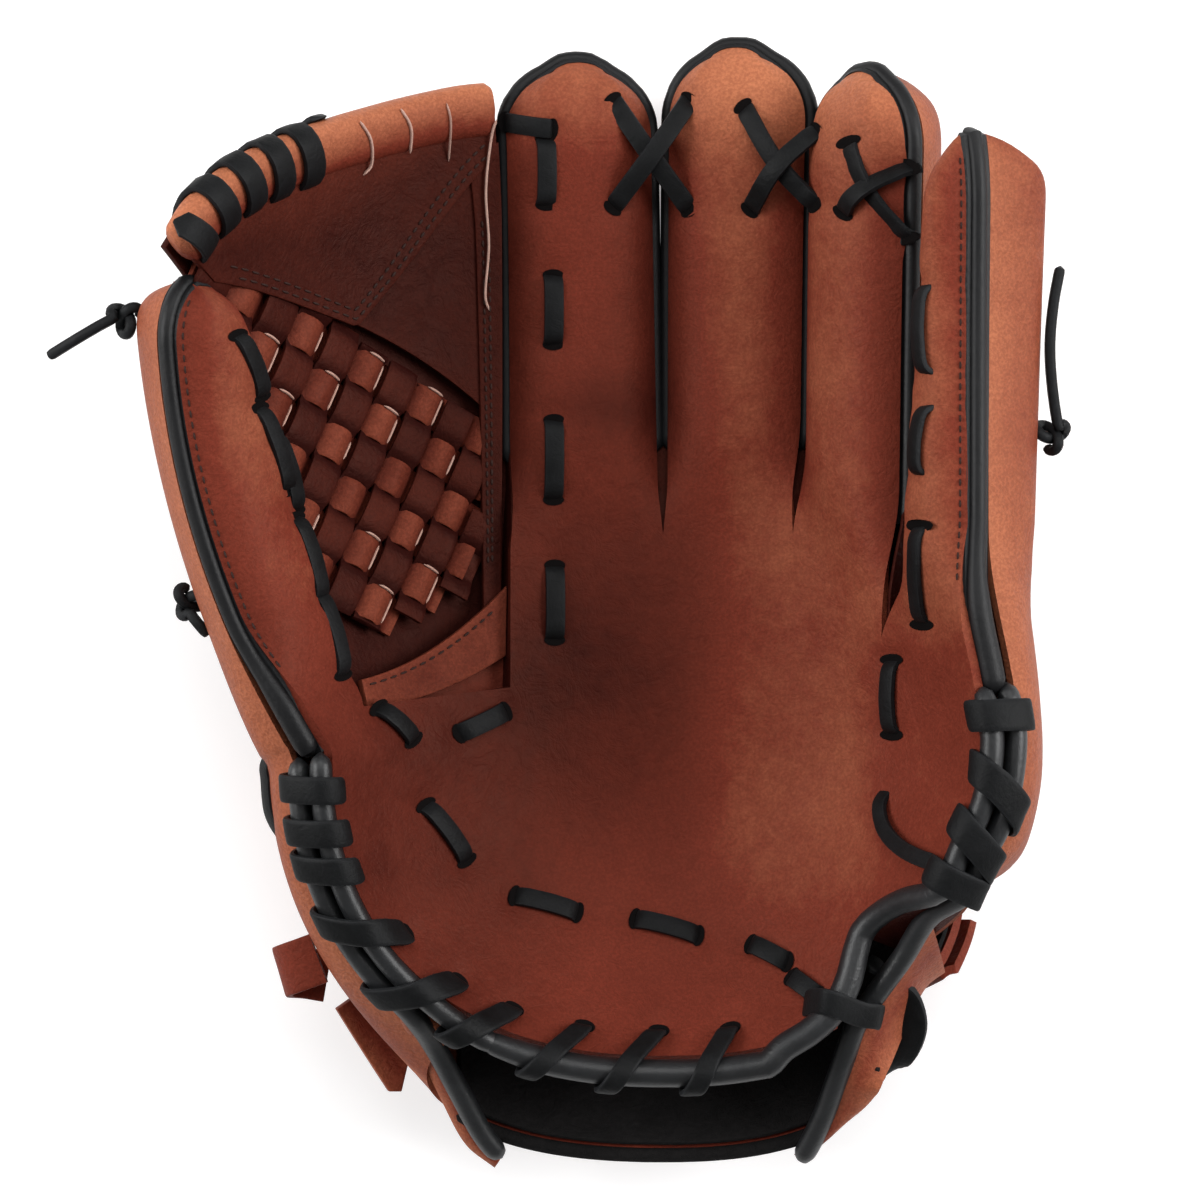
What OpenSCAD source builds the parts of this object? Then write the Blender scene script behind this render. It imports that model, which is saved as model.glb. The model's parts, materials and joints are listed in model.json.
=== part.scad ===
// Fielder's glove for the left hand, lying on its back with the pocket up.
// Every piece is laid out in plan (x towards the little finger, y towards the finger tips) and then
// formed over one pocket surface: at(p, h) lifts a plan point on to it, h above or below the palm leather.

/* [Pocket] */
// Reach from the pocket's middle line to the thumb rim
thumb_reach = 124; // [118:1:130]
// How far the thumb rim comes in between its top and the heel
thumb_sweep = 35; // [30:1:40]
// Reach from the pocket's middle line to the little-finger rim, beside the stall
pinky_reach = 73.5; // [71:0.5:78]
// How much wider the little-finger rim is at the heel
pinky_flare = 9; // [6:1:11]
// How far the little-finger rim draws in beside the heel notch
pinky_tuck = 8; // [4:0.5:10]
// Reach from the widest line of the heel bowl to the heel rim
heel_reach = 83; // [78:1:88]
// Height of the thumb rim above the pocket floor, near the tip
thumb_rise = 76; // [66:1:84]
// Height of the thumb rim above the pocket floor, at the heel bowl
thumb_base_rise = 54; // [46:1:62]
// Height of the little-finger rim above the pocket floor
pinky_rise = 62; // [54:1:70]
// Height of the heel rim above the pocket floor
heel_rise = 30; // [24:1:36]
// How far the finger tips curl up
tip_curl = 10; // [4:1:16]
// Pocket floor to the ground: palm leather, padding, hand space and back leather
stack = 30; // [28:1:34]

/* [Fingers] */
// Width of the index stall in plan
index_w = 42; // [38:1:45]
// Width of the middle stall in plan
middle_w = 35.5; // [32:1:38]
// Width of the ring stall in plan
ring_w = 26; // [24:1:28]
// Length of the index stall above its crotch
index_len = 127; // [120:1:136]
// Length of the middle stall above its crotch
middle_len = 131; // [122:1:138]
// Length of the ring stall above its crotch
ring_len = 129; // [122:1:138]
// Height of the little-finger tip in plan
pinky_top = 121; // [114:1:126]
// Height of the thumb tip in plan
thumb_tip = 82; // [78:1:86]
// Gap between neighbouring stalls
slit_gap = 2.4; // [1.5:0.1:4]
// Crown of a stall's front above its edges
crown = 3; // [2:0.5:5]
// How far the leather rolls down to the seam at a stall's edge
edge_roll = 6; // [5:0.5:7]
// Depth of a stall from its front leather to its back
stall_depth = 28; // [26:1:30]
// Depth of the thumb stall
thumb_depth = 26; // [24:1:30]
// Depth of the little-finger stall
pinky_depth = 32; // [28:1:34]

/* [Leather and felt] */
// Thickness of the shell leather
leather_t = 2.6; // [2:0.1:3]
// Thickness of the felt in the fingers
felt_t = 4; // [3:0.5:5]
// Thickness of the felt in the heel
heel_felt_t = 7; // [5:0.5:8]
// Thickness of the palm lining
lining_t = 1.4; // [1:0.1:2]
// Thickness of the welt sewn into a stall's seam
welt_t = 2.6; // [2:0.1:3]
// Width of the lace
lace_w = 5.4; // [4.5:0.1:6]
// Thickness of the lace
lace_t = 1.8; // [1.4:0.1:2.2]

/* [Heel and wrist] */
// Width of one heel cord
cord_w = 6.2; // [5:0.1:7]
// Thickness of a heel cord
cord_t = 5; // [4:0.1:6]
// Width of the single roll at the bottom of the heel
roll_w = 8.4; // [7:0.1:9]
// Thickness of that roll
roll_t = 6; // [5:0.1:7]
// Turns of lace round the heel cords of the palm
heel_turns = 5; // [3:1:6]
// Turns of lace round the heel cords of the thumb side
thumb_turns = 6; // [4:1:7]
// Turns of lace round the heel cords of the little-finger side
pinky_turns = 4; // [2:1:4]
// Depth of the wrist opening below the heel leather
wrist_depth = 42; // [38:1:46]
// Width of the wrist strap
strap_w = 22; // [18:1:26]
// Thickness of the wrist strap
strap_t = 2.4; // [2:0.1:3]
// Free length of the strap's bevelled tail
tail_len = 30; // [24:1:36]

/* [Web] */
// Depth of the web's face behind the fronts of thumb and index
web_drop = 7; // [5:0.5:9]
// Thickness of the web's backing leather
web_t = 2; // [1.6:0.1:2.6]
// Width of a woven strip
strip_w = 9.4; // [8.6:0.1:9.8]
// Spacing of the woven strips
strip_pitch = 12; // [11.8:0.1:13]
// Thickness of a woven strip
strip_t = 1.4; // [1.1:0.1:1.6]
// Slope of the weave's rows
weave_angle = -28; // [-36:1:-20]
// Width of the rolled band along the web's top
band_w = 15; // [12:0.5:17]
// Thickness of the rolled band
band_t = 9; // [7:0.5:10]
// Turns of lace round the band
band_turns = 5; // [4:1:6]

/* [Hidden] */
leather = "#8a4531";
dark_leather = "#5a2620";
lace_black = "#1d1e21";
felt = "#cfc4ae";
cloth = "#3a2f2b";
gap = 0.5;              // clearance between neighbouring pieces
origin = [11, 0.6, 0];  // from the layout's zero to the glove's own middle
mid_x = 18;             // the pocket's middle line
bowl_y = -40;           // widest line of the heel bowl
thumb_top = 75;         // line where the thumb rim is furthest out
corner = 2.3;           // squareness of the heel rim
flat_part = 0.05;       // share of the pocket that is flat
steep = 2.6;            // how late the walls rise
curl_from = 60;         // line from which the finger tips curl
split_x = -24.6;        // the crease between palm and thumb side
notch = [70, -90];      // top of the notch in the heel
notch_w = 6;            // half the notch's width at the rim
crotch_y = 18;          // line of the finger crotches
web_low = -24;          // line of the crotch under the web
thumb_low = -30;        // line where the thumb stall begins
pinky_low = -10;        // line where the little-finger stall begins
thumb_share = 0.26;     // share of the thumb side's width that runs up into the thumb
palm_rows = 6;
stall_rows = 8;
cuts = 8;               // cuts across one stall
seam_t = 2 * leather_t + welt_t + 2 * gap;   // thickness of a stall's sewn edge
heel_seam = cord_t / 2 + 2 * gap + 1.5 * lace_t + 1.5 * leather_t + lace_t;  // heel leather to back leather
crotch_x = [split_x + gap, split_x + index_w, split_x + index_w + middle_w,
            split_x + index_w + middle_w + ring_w];
heel_x = [split_x + gap, 12, 41, 64];
pinky_lean = 0.075;     // slope of the crease between ring and little finger
crease = 0.35;          // half the gap along that crease
tip_y = crotch_y + middle_len;

// small helpers
function mix(a, b, t) = a + (b - a) * t;
function clamp(v) = max(0, min(1, v));
function unit(v) = v / norm(v);
function ease(v) = let (t = clamp(v)) t * t * (3 - 2 * t);

// The pocket: walls rise from a flat floor to a U-shaped rim, lower at the heel
function thumb_span(y) = thumb_reach
    - thumb_sweep * pow((thumb_top - max(y, bowl_y)) / (thumb_top - bowl_y), 2);
function pinky_span(y) = pinky_reach + pinky_flare * ease((20 - y) / (20 - bowl_y))
    - pinky_tuck * ease((bowl_y - 2 - y) / 34) * ease((y - notch[1] + 24) / 24);
function span(x, y) = x < mid_x ? thumb_span(y) : pinky_span(y);
function sideways(x, y) = abs(x - mid_x) / span(x, y);
function heelward(y) = max(0, bowl_y - y) / heel_reach;
function rim_share(x, y) =
    pow(pow(sideways(x, y), corner) + pow(heelward(y), corner), 1 / corner);
function wall_rise(x, y) = let (
    a = pow(sideways(x, y), 2),
    b = pow(heelward(y), 2),
    side = x < mid_x
        ? mix(thumb_base_rise, thumb_rise, (max(y, bowl_y) - bowl_y) / (thumb_top - bowl_y))
        : pinky_rise
) (a * side + b * heel_rise) / (a + b + 1e-9);
function pocket_z(x, y) = stack
    + wall_rise(x, y) * pow(max(0, (rim_share(x, y) - flat_part) / (1 - flat_part)), steep)
    + tip_curl * pow(max(0, (y - curl_from) / (tip_y - curl_from)), 2);
function lean(p) = let (e = 0.5) unit([
    (pocket_z(p[0] - e, p[1]) - pocket_z(p[0] + e, p[1])) / (2 * e),
    (pocket_z(p[0], p[1] - e) - pocket_z(p[0], p[1] + e)) / (2 * e), 1]);
function at(p, h) = [p[0], p[1], pocket_z(p[0], p[1])] + origin + h * lean(p);

// The rim in plan
function rim_y(x) = bowl_y - heel_reach * pow(1 - pow(min(1, sideways(x, bowl_y)), corner), 1 / corner);
function bowl_width(y) = pow(1 - pow(min(1, heelward(y)), corner), 1 / corner);
function thumb_rim(y) = [mid_x - thumb_span(y) * bowl_width(y), y];
function pinky_rim(y) = [mid_x + pinky_span(y) * bowl_width(y), y];
function pinky_line(y) = notch[0] + pinky_lean * (y - notch[1]);

// Rows run from the heel (0) to the crotch (palm_rows) and on to the tips
function palm_t(j) = min(1, j / palm_rows);
function stall_t(j) = let (t = clamp((j - palm_rows) / stall_rows)) 1 - pow(1 - t, 1.5);
function tip_share(t) = clamp((t - 0.86) / 0.14);
function tip_narrow(t) = max(0.34, sqrt(1 - pow(tip_share(t), 2)));
function shaped(j) = ease(stall_t(j) / 0.25);

// A stall between two base corners and its tip
function stall_plan(left, right, tip, width, s, t) = let (
    l = mix(left, [tip[0] - width / 2, tip[1]], t),
    r = mix(right, [tip[0] + width / 2, tip[1]], t),
    half = (r - l) / 2,
    open = 1 - slit_gap / 2 / norm(half) * clamp(t / 0.1)
) (l + r) / 2 + half * s * open * tip_narrow(t);

// Plan of the palm with index, middle and ring stalls as columns 0, 1 and 2
function palm_edge(k, t) = let (
    start = [heel_x[k], rim_y(heel_x[k])],
    end = [crotch_x[k], crotch_y - (k == 3 ? 26 : k == 0 ? 4 : 0)],
    p = mix(start, end, t)
) k < 3 ? p : [pinky_line(p[1]) - crease - notch_w * clamp((notch[1] - p[1]) / 22), p[1]];
stall_tip = [[split_x + index_w / 2 - 1.5, crotch_y + index_len],
             [split_x + index_w + middle_w / 2 + 1, crotch_y + middle_len],
             [split_x + index_w + middle_w + ring_w / 2, crotch_y - 6 + ring_len]];
stall_tip_w = [index_w - 2, middle_w + 1, ring_w - 1];
function palm_plan(c, s, j) = let (
    m = (1 + s) / 2,
    t = palm_t(j),
    p = mix(palm_edge(c, t), palm_edge(c + 1, t), m),
    x0 = mix(palm_edge(c, 0), palm_edge(c + 1, 0), m),
    bow = (rim_y(x0[0]) - x0[1]) * (1 - t)
) j <= palm_rows ? p + [0, bow]
    : stall_plan(palm_edge(c, 1), palm_edge(c + 1, 1), stall_tip[c], stall_tip_w[c], s, stall_t(j));

// Plan of the thumb side: column 0 runs up into the thumb, column 1 ends under the web
function thumb_row(t, m) = let (
    y = mix(bowl_y - 0.86 * heel_reach, thumb_low, t),
    right = [split_x - gap, mix(rim_y(split_x), web_low, t)]
) mix(thumb_rim(y), right, m);
function thumb_plan(c, s, j) = let (m = (1 + s) / 2, t = stall_t(j)) j <= palm_rows
    ? thumb_row(palm_t(j), c == 0 ? thumb_share * m : mix(thumb_share, 1, m))
    : let (
        y = mix(thumb_low, thumb_tip, t),
        l = thumb_rim(y),
        r = mix(thumb_row(1, thumb_share), thumb_rim(thumb_tip) + [12, 0], t)
    ) (l + r) / 2 + (r - l) / 2 * s * tip_narrow(t);

// Plan of the little-finger side, one column
function pinky_plan(c, s, j) = let (
    m = (1 + s) / 2,
    t = palm_t(j),
    y = mix(notch[1], pinky_low, t),
    l = [pinky_line(y) + crease + notch_w * clamp((notch[1] + 20 - y) / 20), y]
) j <= palm_rows ? mix(l, pinky_rim(mix(notch[1] + 12, pinky_low, t)), m)
    : let (
        v = stall_t(j),
        yy = mix(pinky_low, pinky_top, v),
        ll = [pinky_line(yy) + crease + slit_gap * clamp(v / 0.1), yy],
        rr = pinky_rim(yy)
    ) (ll + rr) / 2 + (rr - ll) / 2 * s * tip_narrow(v);

// Height of a stall's front and back leather over the pocket surface
function front_h(s, j) = let (e = tip_share(stall_t(j)))
    shaped(j) * (crown * (1 - s * s) * (1 - e * e) - edge_roll * max(pow(abs(s), 5), pow(e, 4)));
function stall_back_h(s, j, deep) = let (e = tip_share(stall_t(j)))
    -edge_roll - seam_t - (deep - edge_roll - seam_t) * (1 - pow(abs(s), 3.5)) * (1 - pow(e, 4));
// The palm's back lies flat on the ground and opens downwards at the wrist
function ground_h(p, lift) = -min(stack + 7, (pocket_z(p[0], p[1]) - lift) / lean(p)[2] - 0.02);
function wrist_h(x) = -(heel_seam + (wrist_depth - heel_seam) * (1 - pow(clamp(abs(x - 10) / (x > 10 ? 64 : 58)), 4)));
strap_room = 3 * gap + 1.8 + strap_t + 2.3;   // lift of the back over the ground where the strap lies
function palm_back_h(p, j) = mix(wrist_h(p[0]),
    ground_h(p, strap_room * (1 - ease((palm_t(j) - 0.32) / 0.25))), ease(palm_t(j) / 0.35));
function hand_back_h(c, s, j) = palm_back_h(palm_plan(c, s, min(j, palm_rows)), j);
function finger_back_h(c, s, j) = mix(hand_back_h(c, s, j), stall_back_h(s, j, stall_depth), shaped(j));
// Across the thumb side and the little-finger side the back closes to the rim seam
function side_swell(m, early = 0.45) = pow(sin(90 * clamp(m)), early);
function thumb_m(c, s) = c == 0 ? thumb_share * (1 + s) / 2 : mix(thumb_share, 1, (1 + s) / 2);
function thumb_back_h(c, s, j) = let (
    inner = palm_back_h(thumb_plan(1, 1, min(j, palm_rows)), j),
    palm = mix(-heel_seam, inner, side_swell(thumb_m(c, s), 0.28))
) mix(palm, stall_back_h(s, j, thumb_depth), shaped(j));
function pinky_back_h(c, s, j) = let (
    inner = palm_back_h(pinky_plan(0, -1, min(j, palm_rows)), j),
    palm = mix(-heel_seam, inner, side_swell((1 - s) / 2))
) mix(palm, stall_back_h(s, j, pinky_depth), shaped(j));

// A closed sheet: columns of a grid between an upper and a lower surface. Columns share their edges
// up to row "joined", and column c ends at row ends[c] of the list rows.
module sheet(upper, lower, rows, ends, joined, reach = 1, n = cuts) {
    cols = len(ends);
    size = [for (e = ends) (e + 1) * (n + 1)];
    start = [for (c = [0:cols - 1]) c == 0 ? 0 : 2 * size[0] + (c > 1 ? 2 * size[1] : 0)];
    points = [for (c = [0:cols - 1]) for (face = [upper, lower]) for (j = [0:ends[c]]) for (i = [0:n])
        face(c, reach * sin(-90 + 180 * i / n), rows[j])];
    function u(c, i, j) = start[c] + j * (n + 1) + i;
    function l(c, i, j) = u(c, i, j) + size[c];
    function wall(a, b, c, d) = [[a, b, c], [a, c, d]];
    faces = [for (c = [0:cols - 1]) let (e = ends[c]) each [
        for (j = [0:e - 1]) for (i = [0:n - 1]) each concat(
            wall(u(c, i, j), u(c, i, j + 1), u(c, i + 1, j + 1), u(c, i + 1, j)),
            wall(l(c, i, j), l(c, i + 1, j), l(c, i + 1, j + 1), l(c, i, j + 1))),
        for (j = [0:e - 1]) if (c == 0 || rows[j] >= joined) each
            wall(u(c, 0, j + 1), u(c, 0, j), l(c, 0, j), l(c, 0, j + 1)),
        for (j = [0:e - 1]) if (c == cols - 1 || rows[j] >= joined) each
            wall(u(c, n, j), u(c, n, j + 1), l(c, n, j + 1), l(c, n, j)),
        for (i = [0:n - 1]) each concat(
            wall(u(c, i, 0), u(c, i + 1, 0), l(c, i + 1, 0), l(c, i, 0)),
            wall(u(c, i + 1, e), u(c, i, e), l(c, i, e), l(c, i + 1, e)))]];
    polyhedron(points, faces, convexity = 10);
}
all_rows = [for (j = [0:palm_rows + stall_rows]) j];
seam_row = 0.012;        // half the gap between hand back and finger backs, in rows
stall_only = [for (j = [0:stall_rows]) j == 0 ? palm_rows + seam_row : palm_rows + j];
full = palm_rows + stall_rows;

// A cord of k sides along a path; "flank" gives the cord's width direction at each point
module cord(path, flank, w, t, k = 6) {
    last = len(path) - 1;
    ring = [for (i = [0:last]) let (
        along = unit(path[min(last, i + 1)] - path[max(0, i - 1)]),
        up = unit(cross(along, flank[i])),
        side = cross(up, along)
    ) for (a = [0:k - 1]) let (q = 360 * (a + 0.5) / k, full_w = cos(180 / k))
        path[i] + side * (w / 2 * cos(q) / (k == 4 ? full_w : 1))
                + up * (t / 2 * sin(q) / full_w)];
    faces = concat(
        [for (i = [0:last - 1]) for (a = [0:k - 1]) let (b = (a + 1) % k) each [
            [i * k + a, i * k + b, (i + 1) * k + b], [i * k + a, (i + 1) * k + b, (i + 1) * k + a]]],
        [for (a = [1:k - 2]) [0, a + 1, a]],
        [for (a = [1:k - 2]) [last * k, last * k + a, last * k + a + 1]]);
    polyhedron(ring, [for (f = faces) [f[0], f[2], f[1]]], convexity = 6);
}
// One stitch of flat lace that comes up at a, lies on the leather and goes down at b; foot is how high
// the leather stands at its two holes
module stitch(a, b, lift = 0, foot = 0) {
    top = lift + gap + lace_t / 2;
    low = [for (k = [0, 1]) (is_list(foot) ? foot[k] : foot) - leather_t + 0.4];
    steps = [[0, low[0]], [0.07, mix(low[0], top, 0.8)], [0.25, top], [0.5, top + 0.6], [0.75, top],
             [0.93, mix(low[1], top, 0.8)], [1, low[1]]];
    cord([for (k = steps) at(mix(a, b, k[0]), k[1])],
         [for (k = steps) cross(lean(mix(a, b, k[0])), [b[0] - a[0], b[1] - a[1], 0])], lace_w, lace_t, 4);
}

// The heel rim as a path: q runs round the superellipse, off is the distance outside the rim along
// the leather and h the height over it
function rim_at(q) = let (c = cos(q), s = sin(q), y = bowl_y + sign(s) * heel_reach * pow(abs(s), 2 / corner)) [
    mid_x + sign(c) * (c < 0 ? thumb_span(bowl_y) : pinky_span(y)) * pow(abs(c), 2 / corner), y];
function rim_out(q) = let (p = rim_at(q), d = unit(p - [mid_x, bowl_y])) unit(at(p, 0) - at(p - d, 0));
function rim_point(q, off, h) = at(rim_at(q), h) + off * rim_out(q);
function rim_angle(x) = let (a = acos(pow(clamp(sideways(x, bowl_y)), corner / 2)))
    x < mid_x ? 180 + a : 360 - a;
heel_from = rim_angle(split_x + gap + 0.6);
heel_to = rim_angle(heel_x[3] - notch_w - 1);
thumb_from = rim_angle(split_x - gap - 0.6);
thumb_to = 181;
pinky_from = 360 - asin(pow(heelward(notch[1] + 14), corner / 2));
pinky_to = 367;
cord_off = [gap + cord_w / 2, 2 * gap + 1.5 * cord_w];
cord_h = -leather_t / 2;
module heel_pair(from, to, n = 14, outer_to = undef, clear = 0) {
    color(lace_black) for (k = [0, 1]) {
        end = k == 1 && !is_undef(outer_to) ? outer_to : to;
        angles = [for (i = [0:n]) mix(from, end, i / n)];
        cord([for (q = angles) rim_point(q, cord_off[k] + clear, cord_h)], [for (q = angles) rim_out(q)], cord_w, cord_t);
    }
}
// At the bottom of the heel one thicker roll takes the place of the pair
module heel_roll(from, to, n = 14) {
    angles = [for (i = [0:n]) mix(from, to, i / n)];
    color(lace_black) cord([for (q = angles) rim_point(q, gap + roll_w / 2, cord_h)],
        [for (q = angles) rim_out(q)], roll_w, roll_t);
}
// Lace wound round the pair of cords and through the leather inside the rim
wrap_mid = cord_w / 2 + gap;
wrap_out = 1.5 * cord_w + 2 * gap + lace_t;
wrap_up = cord_t / 2 + gap + lace_t;
function wrap_angles(from, to, turns) = [for (k = [0:24 * turns]) mix(from, to, 0.03 + 0.94 * k / (24 * turns))];
function wrap_path(from, to, turns, mid, out, up) = let (angles = wrap_angles(from, to, turns)) [
    for (k = [0:24 * turns]) rim_point(angles[k], mid + out * cos(15 * k), cord_h + up * sin(15 * k))];
function wrap_flank(from, to, turns) = [for (q = wrap_angles(from, to, turns))
    rim_point(q + 0.5, wrap_mid, cord_h) - rim_point(q - 0.5, wrap_mid, cord_h)];
// Least gap of a winding to its own next turn, measured on its points
function self_gap(path, ring) = min([for (i = [0:len(path) - 1 - ring / 2])
    min([for (k = [i + ring / 2:len(path) - 1]) norm(path[i] - path[k])])]) - lace_t;
module heel_wrap(from, to, turns, name, mid = wrap_mid, out = wrap_out, up = wrap_up) {
    path = wrap_path(from, to, turns, mid, out, up);
    echo(str(name, " least gap to itself, mm: ", self_gap(path, 24)));
    color(lace_black) cord(path, wrap_flank(from, to, turns), lace_w, lace_t);
}

// Palm body
module palm_shell() {
    color(leather) sheet(function(c, s, j) at(palm_plan(c, s, j), front_h(s, j)),
        function(c, s, j) at(palm_plan(c, s, j), front_h(s, j) - leather_t),
        all_rows, [full, full, full], palm_rows);
}
module hand_back() {
    color(leather) sheet(
        function(c, s, j) at(palm_plan(c, s, j), hand_back_h(c, s, j) + leather_t),
        function(c, s, j) at(palm_plan(c, s, j), hand_back_h(c, s, j)),
        [for (j = [0:palm_rows]) j - (j == palm_rows ? seam_row : 0)], [palm_rows, palm_rows, palm_rows],
        palm_rows);
}
module stall_back(c) {
    color(leather) sheet(
        function(k, s, j) at(palm_plan(c, s, j), finger_back_h(c, s, j) + leather_t),
        function(k, s, j) at(palm_plan(c, s, j), finger_back_h(c, s, j)),
        stall_only, [stall_rows], 0);
}
module index_back() { stall_back(0); }
module middle_back() { stall_back(1); }
module ring_back() { stall_back(2); }

welt_seat = 0.9;        // how far out across a stall the welt's middle lies
// A welt runs up one edge of a stall, round the tip and down the other edge, or up one edge alone
module welt(plan, c, sides, from) {
    rows = concat([from], [for (j = [ceil(from + 0.3):full]) j]);
    mid_h = function(j) -edge_roll * shaped(j) - leather_t - 1.4 * gap - welt_t / 2;
    left = [for (j = rows) [-welt_seat, j]];
    right = [for (k = [len(rows) - 1:-1:0]) [welt_seat, rows[k]]];
    run = sides == 2 ? concat(left, [[0, full]], right) : sides < 0 ? left : right;
    path = [for (k = run) at(plan(c, k[0], k[1]), mid_h(k[1]))];
    color(lace_black) cord(path, [for (k = run) lean(plan(c, k[0], k[1]))], welt_t, 2 * welt_t);
}
module index_welt() { welt(function(c, s, j) palm_plan(c, s, j), 0, 2, palm_rows + 2); }
module middle_welt() { welt(function(c, s, j) palm_plan(c, s, j), 1, 2, palm_rows + 2); }
module ring_welt() { welt(function(c, s, j) palm_plan(c, s, j), 2, 2, palm_rows + 2); }

// Felt under the leather: a sheet of one column between two depths
module felt_strip(plan, c, rows, thick, reach = 0.74) {
    top = leather_t + 1.6 * gap;
    color(felt) sheet(function(k, s, j) at(plan(c, s, j), front_h(s, j) - top),
        function(k, s, j) at(plan(c, s, j), front_h(s, j) - top - thick),
        rows, [len(rows) - 1], 0, reach, 4);
}
finger_felt_rows = [for (j = [1:stall_rows - 2]) palm_rows + j];
module index_pad() { felt_strip(function(c, s, j) palm_plan(c, s, j), 0, finger_felt_rows, felt_t); }
module middle_pad() { felt_strip(function(c, s, j) palm_plan(c, s, j), 1, finger_felt_rows, felt_t); }
module ring_pad() { felt_strip(function(c, s, j) palm_plan(c, s, j), 2, finger_felt_rows, felt_t); }
module palm_felt(rows, deep, thick, tone) {
    color(tone) sheet(function(c, s, j) at(palm_plan(c, s, j), -deep),
        function(c, s, j) at(palm_plan(c, s, j), -deep - thick),
        rows, [for (c = [0:2]) len(rows) - 1], full + 1, 1, 4);
}
module palm_pad() { palm_felt([3.1, 4, 5, palm_rows], leather_t + 1.6 * gap, felt_t, felt); }
module heel_pad() { palm_felt([1.1, 2, 2.9], leather_t + 1.6 * gap, heel_felt_t, felt); }
module palm_lining() {
    palm_felt([3.1, 4, 5, palm_rows], leather_t + felt_t + 2.6 * gap, lining_t, cloth);
}
module heel_cords() { heel_roll(heel_from, heel_to); }
module heel_lace() {
    heel_wrap(heel_from, heel_to, heel_turns, "heel lace", roll_w / 2 - 1.5, roll_w / 2 + 2 * gap + lace_t + 1.5,
        roll_t / 2 + gap + lace_t);
}

// Wrist: a lining inside the back, a binding on its edge
module wrist_lining() {
    color(cloth) sheet(
        function(c, s, j) at(palm_plan(c, s, j), hand_back_h(c, s, j) + leather_t + gap + lining_t),
        function(c, s, j) at(palm_plan(c, s, j), hand_back_h(c, s, j) + leather_t + gap),
        [0, 1, 2], [2, 2, 2], full);
}
// A binding lies along the wrist edge of a back; run lists its columns and places across
module binding(plan, back, run, clear = 2.4 * gap, thick = welt_t) {
    mid = function(k, j) at(plan(k[0], k[1], j), back(k[0], k[1], j) + leather_t / 2);
    path = [for (k = run) mid(k, 0) + (thick / 2 + clear) * unit(mid(k, 0) - mid(k, 0.4))];
    color(lace_black) cord(path, [for (k = run) lean(plan(k[0], k[1], 0))], 2 * leather_t, thick);
}
module wrist_binding() {
    binding(function(c, s, j) palm_plan(c, s, j), function(c, s, j) hand_back_h(c, s, j),
        [for (c = [0:2]) for (i = [c == 0 ? 0 : 1:4]) [c, -1 + i / 2]]);
}

// Wrist strap on the back, with a hook patch on its inside and a loop patch sewn to the hand back
strap_row = 1.5;
strap_half = strap_w / 2 * palm_rows / (crotch_y - rim_y(mid_x));
patch_t = 0.9;
function under_back(c, s, j, deep) = at(palm_plan(c, s, j), hand_back_h(c, s, j) - deep);
module back_strip(c0, c1, rows, deep, thick, tone) {
    color(tone) sheet(function(c, s, j) under_back(c + c0, s, j, deep),
        function(c, s, j) under_back(c + c0, s, j, deep + thick),
        [for (k = rows) strap_row + k * strap_half], [for (c = [c0:c1]) len(rows) - 1], full);
}
strap_rows = [-1, 0, 1];
module loop_patch() { back_strip(1, 1, strap_rows, 1.6 * gap, patch_t, cloth); }
module hook_patch() { back_strip(1, 1, strap_rows, 2 * gap + patch_t, patch_t, cloth); }
module wrist_strap() { back_strip(0, 2, strap_rows, 3 * gap + 2 * patch_t, strap_t, leather); }

// Laces of the palm body: crosses between the tips, stitches beside the web and through the palm
module cross_lace(c) {
    a = palm_plan(c, 0.62, palm_rows + 6.7);
    b = palm_plan(c + 1, -0.62, palm_rows + 4.6);
    d = palm_plan(c, 0.62, palm_rows + 4.6);
    e = palm_plan(c + 1, -0.62, palm_rows + 6.7);
    color(lace_black) {
        stitch(a, b, crown - 1, crown - 1.8);
        stitch(d, e, crown - 1 + lace_t + 0.4, crown - 1.8);
    }
}
module index_middle_lace() { cross_lace(0); }
module middle_ring_lace() { cross_lace(1); }
module index_web_lace() {
    color(lace_black) for (j = [1.2, 2.4, 3.9, 5.6])
        stitch(palm_plan(0, -0.6, palm_rows + j), palm_plan(0, -0.6, palm_rows + j + 0.9), crown - 1.6, crown - 1.6);
}
palm_stitches = [[[-17, -80], [-9, -87]], [[12, -84], [24, -86]], [[42, -92], [50, -98]]];
module palm_lace() {
    color(lace_black) for (k = palm_stitches) stitch(k[0], k[1]);
}

// Thumb body
module thumb_shell() {
    color(leather) sheet(function(c, s, j) at(thumb_plan(c, s, j), c == 0 ? front_h(s, j) : 0),
        function(c, s, j) at(thumb_plan(c, s, j), (c == 0 ? front_h(s, j) : 0) - leather_t),
        all_rows, [full, palm_rows], palm_rows);
}
module thumb_back() {
    color(leather) sheet(
        function(c, s, j) at(thumb_plan(c, s, j), thumb_back_h(c, s, j) + leather_t),
        function(c, s, j) at(thumb_plan(c, s, j), thumb_back_h(c, s, j)),
        all_rows, [full, palm_rows], palm_rows);
}
module thumb_welt() { welt(function(c, s, j) thumb_plan(c, s, j), 0, -1, palm_rows + 0.5); }
module thumb_pad() { felt_strip(function(c, s, j) thumb_plan(c, s, j), 0, finger_felt_rows, felt_t); }
module thumb_heel_pad() {
    felt_strip(function(c, s, j) thumb_plan(1, s, j), 1, [1.6, 2.6, 3.6, 4.6, 5.6], heel_felt_t, 0.8);
}
module thumb_heel_cords() { heel_pair(thumb_to, thumb_from, 16, rim_angle(split_x - 17)); }
module thumb_heel_lace() { heel_wrap(thumb_to, thumb_from, thumb_turns, "thumb heel lace"); }
thumb_stitches = [[[-56, -32], [-50, -36]], [[-36, -34], [-28.5, -33]], [[-43, -58], [-37, -66]]];
module thumb_palm_lace() {
    color(lace_black) for (k = thumb_stitches) stitch(k[0], k[1]);
}

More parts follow.
